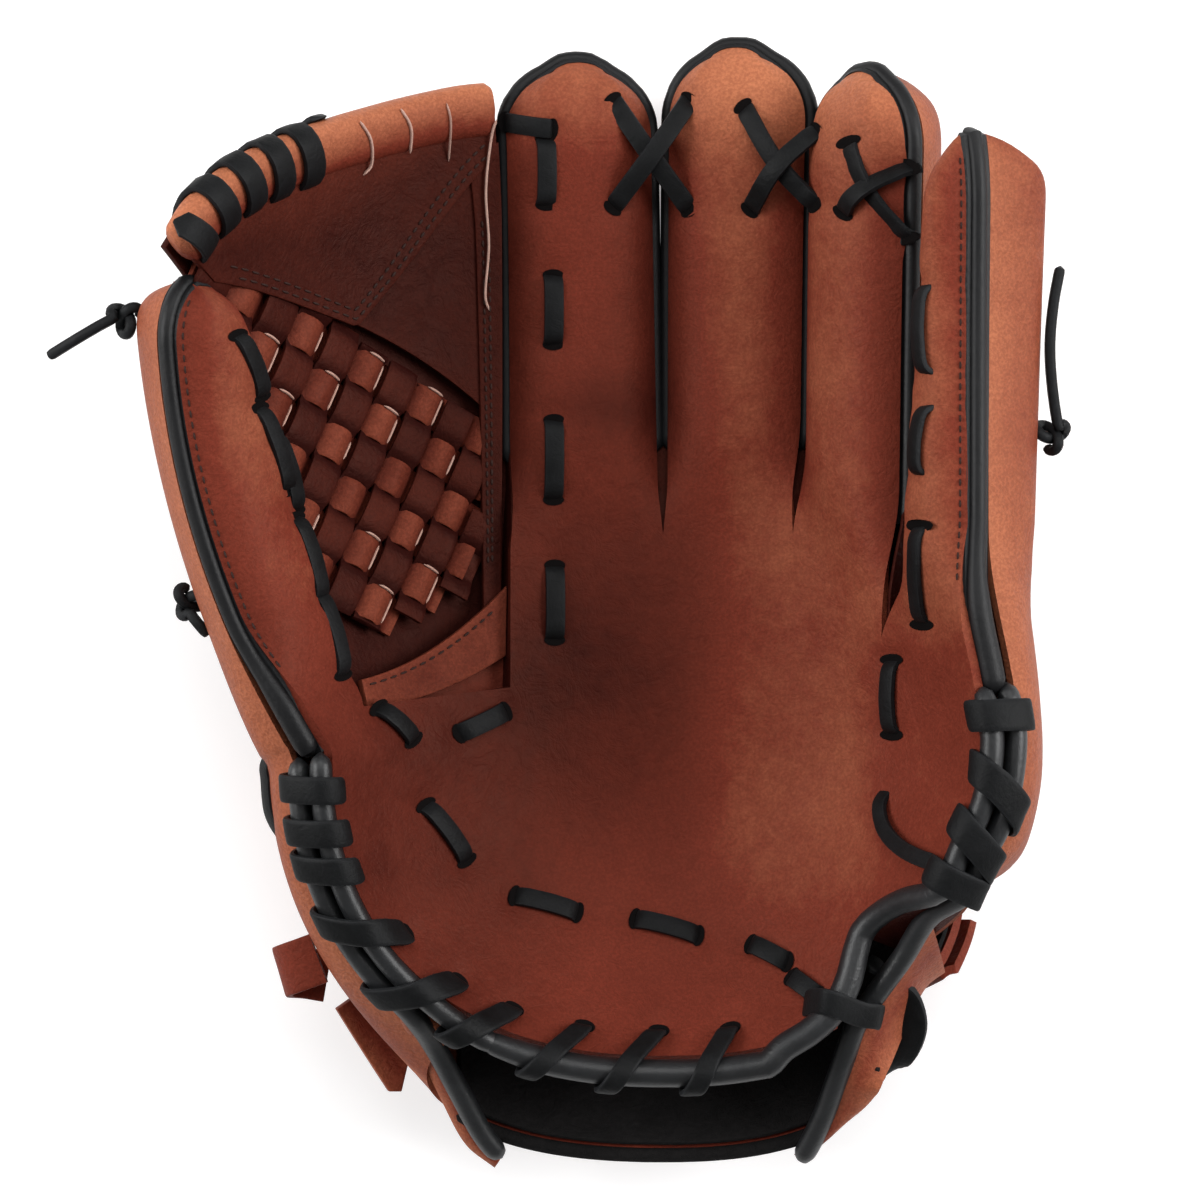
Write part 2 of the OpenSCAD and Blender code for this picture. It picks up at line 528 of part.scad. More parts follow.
// Web: backing, yoke, side border, woven strips, rolled top band and its lace
web_corner = [thumb_row(1, thumb_share) + [0.6, 1], [split_x - 1.4, web_low + 1],
              [split_x - 1.4, crotch_y + index_len - 13.8], thumb_rim(thumb_tip) + [12.4, 5.2]];
function web_plan(s, t) = mix(mix(web_corner[0], web_corner[3], t), mix(web_corner[1], web_corner[2], t),
    (1 + s) / 2);
// A leaf of the web from s0 to s1 across and t0 to t1 up, its lower edge drooping in the middle
module web_leaf(s0, s1, t0, t1, depth, thick, tone = dark_leather, droop = 0, steps = 4, n = cuts) {
    place = function(s, j) web_plan(mix(s0, s1, (1 + s) / 2), mix(t0 - droop * (1 - s * s), t1, j / steps));
    color(tone) sheet(function(c, s, j) at(place(s, j), -depth),
        function(c, s, j) at(place(s, j), -depth - thick), [for (j = [0:steps]) j], [steps], 0, 1, n);
}
weave_depth = web_drop + strip_t + gap;
border = 0.58;          // where the weave ends and the side border begins, across the web
yoke_low = 0.78;        // where the yoke begins at its sides, up the web
front_depth = weave_depth - strip_t - gap - web_t;
module web_panel() {
    web_leaf(-1, 1, 0, 1, weave_depth + strip_t + 2 * gap, web_t, dark_leather, 0, 8);
}
module web_yoke() { web_leaf(-0.97, 0.97, yoke_low, 0.99, front_depth, web_t, dark_leather, 0.14); }
module web_border() {
    web_leaf(border + 0.04, 0.97, 0.02, yoke_low - 0.1, front_depth, web_t, dark_leather, 0, 6, 4);
}
module web_crotch_tab() { web_leaf(-0.94, border, 0.01, 0.08, front_depth, web_t, leather, -0.03, 2); }

// Part of a line that lies inside the woven field, as the range of its parameter
weave_corner = [web_plan(-0.97, 0.07), web_plan(border, 0.07), web_plan(border, 0.76), web_plan(-0.97, 0.84)];
function inside(o, d) = let (
    n = len(weave_corner),
    hit = [for (k = [0:n - 1]) let (
        a = weave_corner[k],
        e = weave_corner[(k + 1) % n] - a,
        w = [-e[1], e[0]] / norm(e)
    ) [-(w * (o - a)) / (w * d), w * d]]
) [max([for (v = hit) if (v[1] > 0) v[0]]), min([for (v = hit) if (v[1] < 0) v[0]])];
weave_mid = (weave_corner[0] + weave_corner[1] + weave_corner[2] + weave_corner[3]) / 4;
wave = strip_t / 2 + gap / 2;
module strips(dir, other, phase) {
    for (k = [-9:9]) {
        o = weave_mid + other * k * strip_pitch;
        range = inside(o, dir);
        stops = [for (m = [-9:9]) let (
            a = max((m - 0.4) * strip_pitch, range[0]),
            b = min((m + 0.4) * strip_pitch, range[1]),
            h = (m + k + phase) % 2 == 0 ? wave : -wave
        ) if (b - a > 1.5) each [[a, h], [b, h]]];
        if (len(stops) > 3)
            cord([for (v = stops) at(o + dir * v[0], v[1] - weave_depth)],
                [for (v = stops) at(o + dir * v[0] + other, 0) - at(o + dir * v[0] - other, 0)],
                strip_w, strip_t, 4);
    }
}
row_dir = [cos(weave_angle), sin(weave_angle)];
col_dir = [-row_dir[1], row_dir[0]];
module web_strips_across() { color(dark_leather) strips(row_dir, col_dir, 0); }
module web_strips_along() { color("#7a3a2c") strips(col_dir, row_dir, 1); }

band_ends = [thumb_rim(thumb_tip) + [1, 10], [split_x - 3, crotch_y + index_len - 9]];
function band_at(q, off, h) = let (
    p = mix(band_ends[0], band_ends[1], q) + [0, 9] * sin(180 * q),
    d = unit(band_ends[1] - band_ends[0])
) at(p + [-d[1], d[0]] * off, h - web_drop);
module web_top_band() {
    n = 12;
    color(leather) cord([for (i = [0:n]) band_at(i / n, 0, 0)],
        [for (i = [0:n]) band_at(i / n, 1, 0) - band_at(i / n, 0, 0)], band_w, band_t, 8);
}
band_from = 0.06;
band_to = 0.54;
module web_band_lace() {
    clear = gap + lace_t / 2;
    path = [for (k = [0:24 * band_turns]) let (q = mix(band_from, band_to, k / (24 * band_turns)), a = 15 * k)
        band_at(q, (band_w / 2 + clear) * cos(a), (band_t / 2 + clear + 0.4) * sin(a))];
    flank = [for (k = [0:24 * band_turns]) let (q = mix(band_from, band_to, k / (24 * band_turns)))
        band_at(q + 0.01, 0, 0) - band_at(q - 0.01, 0, 0)];
    echo(str("band lace least gap to itself, mm: ", self_gap(path, 24)));
    color(lace_black) cord(path, flank, lace_w, lace_t);
}
module web_thumb_lace() {
    color(lace_black) for (j = [0.9, 2.2, 3.6, 5.1])
        stitch(thumb_plan(0, 0.55, palm_rows + j), thumb_plan(0, 0.55, palm_rows + j + 0.9), crown - 1.6, crown - 1.5);
}

// Little-finger body
module pinky_shell() {
    color(leather) sheet(function(c, s, j) at(pinky_plan(c, s, j), front_h(s, j)),
        function(c, s, j) at(pinky_plan(c, s, j), front_h(s, j) - leather_t), all_rows, [full], palm_rows);
}
module pinky_back() {
    color(leather) sheet(
        function(c, s, j) at(pinky_plan(c, s, j), pinky_back_h(c, s, j) + leather_t),
        function(c, s, j) at(pinky_plan(c, s, j), pinky_back_h(c, s, j)), all_rows, [full], palm_rows);
}
module pinky_welt() { welt(function(c, s, j) pinky_plan(c, s, j), 0, 1, palm_rows + 0.5); }
module pinky_pad() { felt_strip(function(c, s, j) pinky_plan(c, s, j), 0, finger_felt_rows, felt_t); }
module pinky_heel_pad() {
    felt_strip(function(c, s, j) pinky_plan(c, s, j), 0, [1.4, 2.3, 3.2, 4.1, 5], heel_felt_t, 0.5);
}
module pinky_heel_cords() { heel_pair(pinky_from, pinky_to, 14, clear = gap / 2); }
module pinky_heel_lace() { heel_wrap(pinky_from, pinky_to, pinky_turns, "little-finger heel lace"); }
module pinky_lace() {
    color(lace_black) for (j = [0.8, 2.2, 3.7])
        stitch(pinky_plan(0, -0.5, palm_rows + j), pinky_plan(0, -0.5, palm_rows + j + 0.9), crown - 1.6, crown - 1.2);
}

// An overhand knot in stiff lace with a short tail
knot_r = 4.2;
module knot(place, tail) {
    turns = 20;
    turn = atan2(tail[1], tail[0]) + 155;
    loop = [for (k = [0:turns]) let (
        a = 30 + 300 * k / turns,
        v = [sin(a) + 1.6 * sin(2 * a), cos(a) - 1.6 * cos(2 * a)]
    ) place + knot_r / 2.6 * [v[0] * cos(turn) - v[1] * sin(turn), v[0] * sin(turn) + v[1] * cos(turn),
                              -1.3 * sin(3 * a)]];
    path = concat(loop, [for (k = [1:4]) mix(loop[turns], place + tail, k / 4) + [0, 0, 1.5 * sin(45 * k)]]);
    color(lace_black) cord(path, [for (p = path) [0, 0, 1]], 2.6, 2.2);
}
module thumb_knot() {
    j = palm_rows + 6.4;
    knot(at(thumb_plan(0, -0.5, j), thumb_back_h(0, -0.5, j) - knot_r + gap), [-21, -10, -4]);
}
module pinky_knot() {
    j = palm_rows + 2.4;
    knot(at(pinky_plan(0, 0.3, j), pinky_back_h(0, 0.3, j) - knot_r - 2.2 * gap), [1, 46, 4]);
}
module thumb_binding() {
    binding(function(c, s, j) thumb_plan(c, s, j), function(c, s, j) thumb_back_h(c, s, j),
        [for (c = [0, 1]) for (i = [c == 0 ? 3 : 1:5]) [c, -1 + 0.4 * i]], 4.8 * gap, 1.6 * welt_t);
}
// The strap's end on the thumb side: a fold that stands out past the heel, and a bevelled tail
fold_w = 14;
tail_w = 11.5;
fold_seat = let (j = 1.75, s = -0.1) at(thumb_plan(0, s, j), thumb_back_h(0, s, j) - strap_t / 2);
fold_run = [[0, 0, 0], [-4, -1.5, -0.5], [-8, -3, -2], [-10, -4, -5.5], [-8.5, -4.5, -9], [-4, -5, -12],
            [1.5, -6, -13.4]];
module strap_fold() {
    color(leather) cord([for (v = fold_run) fold_seat + v], [for (v = fold_run) [0.3, -1, 0]],
        fold_w, strap_t, 4);
}
tail_root = fold_seat + [8.4, -11.8, -17.4];
tail_dir = unit([0.52, -0.85, -0.22]);
tail_flank = [0.85, 0.52, -0.25];
module strap_tail() {
    side = unit(tail_flank - tail_dir * (tail_dir * tail_flank));
    up = cross(side, tail_dir);
    outline = [[-tail_w / 2, 0], [tail_w / 2, 0], [tail_w / 2, tail_len - 8], [-tail_w / 4, tail_len],
               [-tail_w / 2, tail_len - 2]];
    n = len(outline);
    points = [for (h = [-strap_t / 2, strap_t / 2]) for (v = outline)
        tail_root + side * v[0] + tail_dir * v[1] + up * h];
    color(leather) polyhedron(points, concat([[for (k = [0:n - 1]) k]], [[for (k = [n - 1:-1:0]) n + k]],
        [for (k = [0:n - 1]) [k, n + k, n + (k + 1) % n, (k + 1) % n]]));
}
// A loop of lace that closes the wrist opening beside the notch
module wrist_loop() {
    edge = palm_plan(2, 1, 0.3);
    top = at(edge, -leather_t - 1) + [gap + lace_t, 0, 0];
    low = at(edge, hand_back_h(2, 1, 0.3) + 1.2 * leather_t) + [gap + 2.75 * lace_t, 0, 0];
    n = 10;
    path = [for (k = [0:n]) mix(top, low, k / n) + [15, 3, 1] * sin(180 * k / n)];
    color(lace_black) cord(path, [for (q = path) [0, 1, 0.2]], lace_w, 1.4 * lace_t);
}

// Ring lace: crosses towards the little finger and ends at the crease
module ring_lace() {
    hole = function(s, j) palm_plan(2, s, palm_rows + j);
    color(lace_black) {
        stitch(hole(0.3, 6.3), hole(0.8, 4.6), crown - 0.4, [crown - 1.2, crown - 3.2]);
        stitch(hole(0.3, 4.4), hole(0.8, 6.0), crown - 0.4 + lace_t + 0.4, [crown - 1.2, crown - 3.2]);
    }
}

palm_shell();
hand_back();
index_back();
middle_back();
ring_back();
index_welt();
middle_welt();
ring_welt();
index_pad();
middle_pad();
ring_pad();
palm_pad();
heel_pad();
palm_lining();
heel_cords();
heel_lace();
wrist_lining();
wrist_binding();
index_middle_lace();
middle_ring_lace();
index_web_lace();
palm_lace();
ring_lace();
loop_patch();
hook_patch();
wrist_strap();
wrist_loop();
thumb_shell();
thumb_back();
thumb_welt();
thumb_pad();
thumb_heel_pad();
thumb_heel_cords();
thumb_heel_lace();
thumb_palm_lace();
web_panel();
web_yoke();
web_border();
web_crotch_tab();
web_strips_across();
web_strips_along();
web_top_band();
web_band_lace();
web_thumb_lace();
thumb_binding();
thumb_knot();
strap_fold();
strap_tail();
pinky_shell();
pinky_back();
pinky_welt();
pinky_pad();
pinky_heel_pad();
pinky_heel_cords();
pinky_heel_lace();
pinky_lace();
pinky_knot();
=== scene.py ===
"""Fielding glove for the left hand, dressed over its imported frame.

Every piece is laid out flat in plan, in millimetres, and formed over one pocket surface: a plan point and
a height over the palm leather give a place in the frame, in metres. The pocket opens upwards, the fingers
point along +Y and the little finger lies towards +X.
"""

from __future__ import annotations

import json
import logging
import math
from dataclasses import dataclass, field
from enum import Enum
from typing import Callable, Sequence

import bpy
import numpy as np
from mathutils import Vector
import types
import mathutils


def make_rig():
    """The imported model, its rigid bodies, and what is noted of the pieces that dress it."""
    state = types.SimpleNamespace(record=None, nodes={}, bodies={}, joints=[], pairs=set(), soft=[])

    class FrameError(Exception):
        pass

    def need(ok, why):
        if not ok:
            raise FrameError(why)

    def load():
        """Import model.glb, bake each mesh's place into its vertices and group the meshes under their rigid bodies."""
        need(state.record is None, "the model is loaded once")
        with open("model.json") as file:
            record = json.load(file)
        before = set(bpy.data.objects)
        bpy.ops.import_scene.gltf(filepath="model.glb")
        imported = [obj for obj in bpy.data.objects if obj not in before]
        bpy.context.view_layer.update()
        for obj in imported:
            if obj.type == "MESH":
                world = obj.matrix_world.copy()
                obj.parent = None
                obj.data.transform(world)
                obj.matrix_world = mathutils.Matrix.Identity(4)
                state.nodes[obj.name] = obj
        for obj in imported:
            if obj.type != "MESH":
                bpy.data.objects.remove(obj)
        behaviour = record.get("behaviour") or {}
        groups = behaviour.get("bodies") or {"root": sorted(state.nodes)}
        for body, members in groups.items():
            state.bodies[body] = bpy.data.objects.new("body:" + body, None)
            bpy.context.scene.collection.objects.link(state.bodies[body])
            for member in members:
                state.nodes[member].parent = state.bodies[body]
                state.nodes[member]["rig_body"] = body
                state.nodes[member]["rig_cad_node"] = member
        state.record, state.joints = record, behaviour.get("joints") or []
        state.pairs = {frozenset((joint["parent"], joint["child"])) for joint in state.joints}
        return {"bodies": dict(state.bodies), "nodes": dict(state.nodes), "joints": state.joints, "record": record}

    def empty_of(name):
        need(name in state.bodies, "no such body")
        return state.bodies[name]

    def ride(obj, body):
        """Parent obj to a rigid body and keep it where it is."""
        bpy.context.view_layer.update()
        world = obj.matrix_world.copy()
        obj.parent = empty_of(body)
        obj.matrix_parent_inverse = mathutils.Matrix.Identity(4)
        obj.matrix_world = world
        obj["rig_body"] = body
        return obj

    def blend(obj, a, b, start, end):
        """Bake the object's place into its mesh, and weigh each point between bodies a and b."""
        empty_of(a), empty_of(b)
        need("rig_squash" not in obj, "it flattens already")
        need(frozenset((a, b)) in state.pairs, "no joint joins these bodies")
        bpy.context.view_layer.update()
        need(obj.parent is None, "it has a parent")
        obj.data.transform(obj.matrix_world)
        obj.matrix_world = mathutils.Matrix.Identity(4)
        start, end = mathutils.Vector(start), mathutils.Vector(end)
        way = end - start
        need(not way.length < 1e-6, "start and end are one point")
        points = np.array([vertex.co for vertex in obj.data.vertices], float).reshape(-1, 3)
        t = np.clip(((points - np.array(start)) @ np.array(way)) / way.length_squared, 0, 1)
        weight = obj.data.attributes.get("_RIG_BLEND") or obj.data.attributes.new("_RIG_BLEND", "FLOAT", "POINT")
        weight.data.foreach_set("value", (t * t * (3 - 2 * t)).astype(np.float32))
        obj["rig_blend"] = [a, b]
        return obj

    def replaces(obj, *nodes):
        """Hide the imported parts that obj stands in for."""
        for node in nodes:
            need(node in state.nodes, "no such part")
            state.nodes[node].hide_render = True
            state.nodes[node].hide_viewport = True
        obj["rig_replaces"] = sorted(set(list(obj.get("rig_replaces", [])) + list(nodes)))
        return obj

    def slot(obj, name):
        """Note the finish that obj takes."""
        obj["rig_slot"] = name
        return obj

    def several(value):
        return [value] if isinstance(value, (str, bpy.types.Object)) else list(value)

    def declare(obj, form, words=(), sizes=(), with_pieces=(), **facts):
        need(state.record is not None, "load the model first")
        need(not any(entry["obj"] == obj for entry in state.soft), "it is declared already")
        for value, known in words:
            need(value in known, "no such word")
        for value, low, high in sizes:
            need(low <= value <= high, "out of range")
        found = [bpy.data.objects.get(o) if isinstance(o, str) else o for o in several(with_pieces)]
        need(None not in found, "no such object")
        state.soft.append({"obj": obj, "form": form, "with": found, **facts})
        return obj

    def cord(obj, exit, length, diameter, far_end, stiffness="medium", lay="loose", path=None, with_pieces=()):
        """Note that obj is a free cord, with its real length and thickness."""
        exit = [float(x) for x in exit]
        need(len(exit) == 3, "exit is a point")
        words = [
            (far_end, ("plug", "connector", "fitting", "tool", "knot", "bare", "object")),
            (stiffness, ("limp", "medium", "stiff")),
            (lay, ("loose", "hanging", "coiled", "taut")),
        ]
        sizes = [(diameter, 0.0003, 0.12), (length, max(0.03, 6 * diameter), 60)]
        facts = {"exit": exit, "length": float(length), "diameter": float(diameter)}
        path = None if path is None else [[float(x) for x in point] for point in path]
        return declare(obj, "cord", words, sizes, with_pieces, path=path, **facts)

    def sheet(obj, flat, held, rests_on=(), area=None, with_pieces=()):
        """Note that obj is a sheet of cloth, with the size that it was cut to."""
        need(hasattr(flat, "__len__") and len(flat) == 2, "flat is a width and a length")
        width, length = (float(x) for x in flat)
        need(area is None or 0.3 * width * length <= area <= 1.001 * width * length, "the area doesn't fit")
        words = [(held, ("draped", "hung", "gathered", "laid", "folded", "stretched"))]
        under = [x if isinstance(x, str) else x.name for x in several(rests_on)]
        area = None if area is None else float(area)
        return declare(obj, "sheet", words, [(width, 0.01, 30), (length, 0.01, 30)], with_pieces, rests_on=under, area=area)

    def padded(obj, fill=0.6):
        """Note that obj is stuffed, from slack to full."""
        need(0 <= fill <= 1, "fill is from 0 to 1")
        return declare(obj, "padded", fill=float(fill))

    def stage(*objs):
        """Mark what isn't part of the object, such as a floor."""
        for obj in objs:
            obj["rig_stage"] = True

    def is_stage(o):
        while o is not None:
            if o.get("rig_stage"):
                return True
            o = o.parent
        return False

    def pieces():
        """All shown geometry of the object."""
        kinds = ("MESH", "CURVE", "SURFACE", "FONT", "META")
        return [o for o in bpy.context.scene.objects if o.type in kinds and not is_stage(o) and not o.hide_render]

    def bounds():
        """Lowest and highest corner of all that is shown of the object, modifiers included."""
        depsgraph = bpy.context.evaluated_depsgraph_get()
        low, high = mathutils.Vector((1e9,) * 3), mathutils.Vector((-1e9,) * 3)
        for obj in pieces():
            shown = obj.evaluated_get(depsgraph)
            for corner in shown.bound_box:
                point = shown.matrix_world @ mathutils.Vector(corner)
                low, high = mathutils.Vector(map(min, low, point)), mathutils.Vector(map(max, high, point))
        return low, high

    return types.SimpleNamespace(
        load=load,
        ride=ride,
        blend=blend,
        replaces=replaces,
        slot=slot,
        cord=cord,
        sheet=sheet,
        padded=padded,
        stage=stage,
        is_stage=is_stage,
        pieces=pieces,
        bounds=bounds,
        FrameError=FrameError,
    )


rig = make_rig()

LOG = logging.getLogger("glove")
MM = 0.001
Array = np.ndarray
Object = bpy.types.Object
Tree = bpy.types.NodeTree
Colour = tuple[float, float, float]
Plan = tuple[float, float]
Place = tuple[float, float, float]
Former = Callable[[Array, Array], Array]
ROUND = 2.0
FLAT_LACE = 4.5
TINY = 1e-9


class Follow(Enum):
    """How a piece moves: with one body, or bending across one of the two folds."""

    PALM = "palm_side"
    STRAP = "strap_end"
    THUMB_FOLD = "thumb fold"
    PINKY_FOLD = "little-finger fold"
    PINKY_BACK = "little-finger fold, from the ground up"


def mix(a: Array | float, b: Array | float, t: Array | float) -> Array | float:
    """Returns the value a share t of the way from a to b."""
    return a + (b - a) * t


def ease(v: Array | float) -> Array | float:
    """Returns a smooth step from 0 to 1."""
    t = np.clip(v, 0, 1)
    return t * t * (3 - 2 * t)


def unit(v: Array) -> Array:
    """Returns vectors of length one along the last axis."""
    return v / np.maximum(np.linalg.norm(v, axis=-1, keepdims=True), 1e-12)


@dataclass(frozen=True)
class Last:
    """The pocket surface, with the reaches and rises of its walls in millimetres."""

    thumb_reach: float = 124
    thumb_sweep: float = 35
    pinky_reach: float = 73.5
    pinky_flare: float = 9
    flare_y: float = 20
    pinky_tuck: float = 8
    tuck_run: float = 34
    tuck_back: float = 24
    notch_y: float = -90
    heel_reach: float = 83
    thumb_rise: float = 76
    thumb_base_rise: float = 54
    pinky_rise: float = 62
    heel_rise: float = 30
    tip_curl: float = 10
    stack: float = 30
    mid_x: float = 18
    bowl_y: float = -40
    thumb_top: float = 75
    corner: float = 2.3
    flat_part: float = 0.05
    steep: float = 2.6
    curl_from: float = 60
    tip_y: float = 149
    origin: tuple[float, float, float] = (11, 0.6, 0)

    def thumb_span(self, y: Array) -> Array:
        """Returns the reach to the thumb rim."""
        share = (self.thumb_top - np.maximum(y, self.bowl_y)) / (self.thumb_top - self.bowl_y)
        return self.thumb_reach - self.thumb_sweep * share**2

    def pinky_span(self, y: Array) -> Array:
        """Returns the reach to the little-finger rim.

        Args:
            y: Plan positions from heel to tips.
        """
        begun = ease((self.bowl_y - 2 - y) / self.tuck_run)
        tuck = begun * ease((y - self.notch_y + self.tuck_back) / self.tuck_back)
        flare = ease((self.flare_y - y) / (self.flare_y - self.bowl_y))
        return self.pinky_reach + self.pinky_flare * flare - self.pinky_tuck * tuck

    def sideways(self, x: Array, y: Array) -> Array:
        """Returns the share of the way from the middle line to the side rim."""
        return np.abs(x - self.mid_x) / np.where(x < self.mid_x, self.thumb_span(y), self.pinky_span(y))

    def heelward(self, y: Array) -> Array:
        """Returns the share of the way from the bowl's widest line to the heel rim."""
        return np.maximum(0, self.bowl_y - y) / self.heel_reach

    def pocket(self, x: Array, y: Array) -> Array:
        """Returns the height of the palm leather at plan points, in millimetres.

        Args:
            x: Plan positions across the glove.
            y: Plan positions from heel to tips.
        """
        a, b = self.sideways(x, y), self.heelward(y)
        share = (a**self.corner + b**self.corner) ** (1 / self.corner)
        up = (np.maximum(y, self.bowl_y) - self.bowl_y) / (self.thumb_top - self.bowl_y)
        side = np.where(x < self.mid_x, mix(self.thumb_base_rise, self.thumb_rise, up), self.pinky_rise)
        rise = (a**2 * side + b**2 * self.heel_rise) / (a**2 + b**2 + TINY)
        wall = np.maximum(0, (share - self.flat_part) / (1 - self.flat_part)) ** self.steep
        curl = np.maximum(0, (y - self.curl_from) / (self.tip_y - self.curl_from)) ** 2
        return self.stack + rise * wall + self.tip_curl * curl

    def lean(self, x: Array, y: Array) -> Array:
        """Returns the leather's outward normal at plan points.

        Args:
            x: Plan positions across the glove.
            y: Plan positions from heel to tips.
        """
        e = 0.5
        dx = self.pocket(x - e, y) - self.pocket(x + e, y)
        dy = self.pocket(x, y - e) - self.pocket(x, y + e)
        return unit(np.stack([dx, dy, np.full_like(dx, 2 * e)], -1))

    def at(self, x: Array, y: Array, h: Array | float = 0.0) -> Array:
        """Forms plan points over the last.

        Args:
            x: Plan positions across the glove, in millimetres.
            y: Plan positions from heel to finger tips, in millimetres.
            h: Heights over the palm leather, in millimetres.

        Returns:
            Places in the frame, in metres, one row for each point.
        """
        x, y, h = (np.asarray(v, float) for v in np.broadcast_arrays(x, y, h))
        place = np.stack([x, y, self.pocket(x, y)], -1) + np.array(self.origin)
        return (place + h[..., None] * self.lean(x, y)) * MM

    def rim_y(self, x: Array) -> Array:
        """Returns the heel rim's line in plan."""
        a = np.minimum(1, self.sideways(x, np.full_like(np.asarray(x, float), self.bowl_y)))
        return self.bowl_y - self.heel_reach * (1 - a**self.corner) ** (1 / self.corner)

    def bowl_width(self, y: Array) -> Array:
        """Returns how much of its full width the pocket has at a line."""
        return (1 - np.minimum(1, self.heelward(y)) ** self.corner) ** (1 / self.corner)

    def thumb_rim(self, y: Array) -> Array:
        """Returns the thumb rim's position across the glove."""
        return self.mid_x - self.thumb_span(y) * self.bowl_width(y)

    def pinky_rim(self, y: Array) -> Array:
        """Returns the little-finger rim's position across the glove."""
        return self.mid_x + self.pinky_span(y) * self.bowl_width(y)

    def rim_at(self, q: Array) -> tuple[Array, Array]:
        """Returns plan points of the rim.

        Args:
            q: Angles round the bowl, in degrees.
        """
        c, s = np.cos(np.radians(q)), np.sin(np.radians(q))
        y = self.bowl_y + np.sign(s) * self.heel_reach * np.abs(s) ** (2 / self.corner)
        reach = np.where(c < 0, self.thumb_span(np.float64(self.bowl_y)), self.pinky_span(y))
        return self.mid_x + np.sign(c) * reach * np.abs(c) ** (2 / self.corner), y

    def rim_point(self, q: Array, off: Array | float, h: Array | float) -> Array:
        """Returns places beside the rim, in metres; distances are in millimetres.

        Args:
            q: Angles round the bowl, in degrees.
            off: Distances outwards along the leather.
            h: Heights over it.
        """
        x, y = self.rim_at(np.asarray(q, float))
        d = unit(np.stack([x - self.mid_x, y - self.bowl_y], -1))
        out = unit(self.at(x, y) - self.at(x - d[..., 0], y - d[..., 1]))
        off = np.broadcast_to(np.asarray(off, float), x.shape)
        return self.at(x, y, h) + off[..., None] * out * MM

    def rim_angle(self, x: float) -> float:
        """Returns the angle round the bowl at which the heel rim reaches x.

        Args:
            x: A plan position across the glove.
        """
        share = min(1.0, float(self.sideways(np.float64(x), np.float64(self.bowl_y))))
        a = math.degrees(math.acos(share ** (self.corner / 2)))
        return 180 + a if x < self.mid_x else 360 - a


LAST = Last()


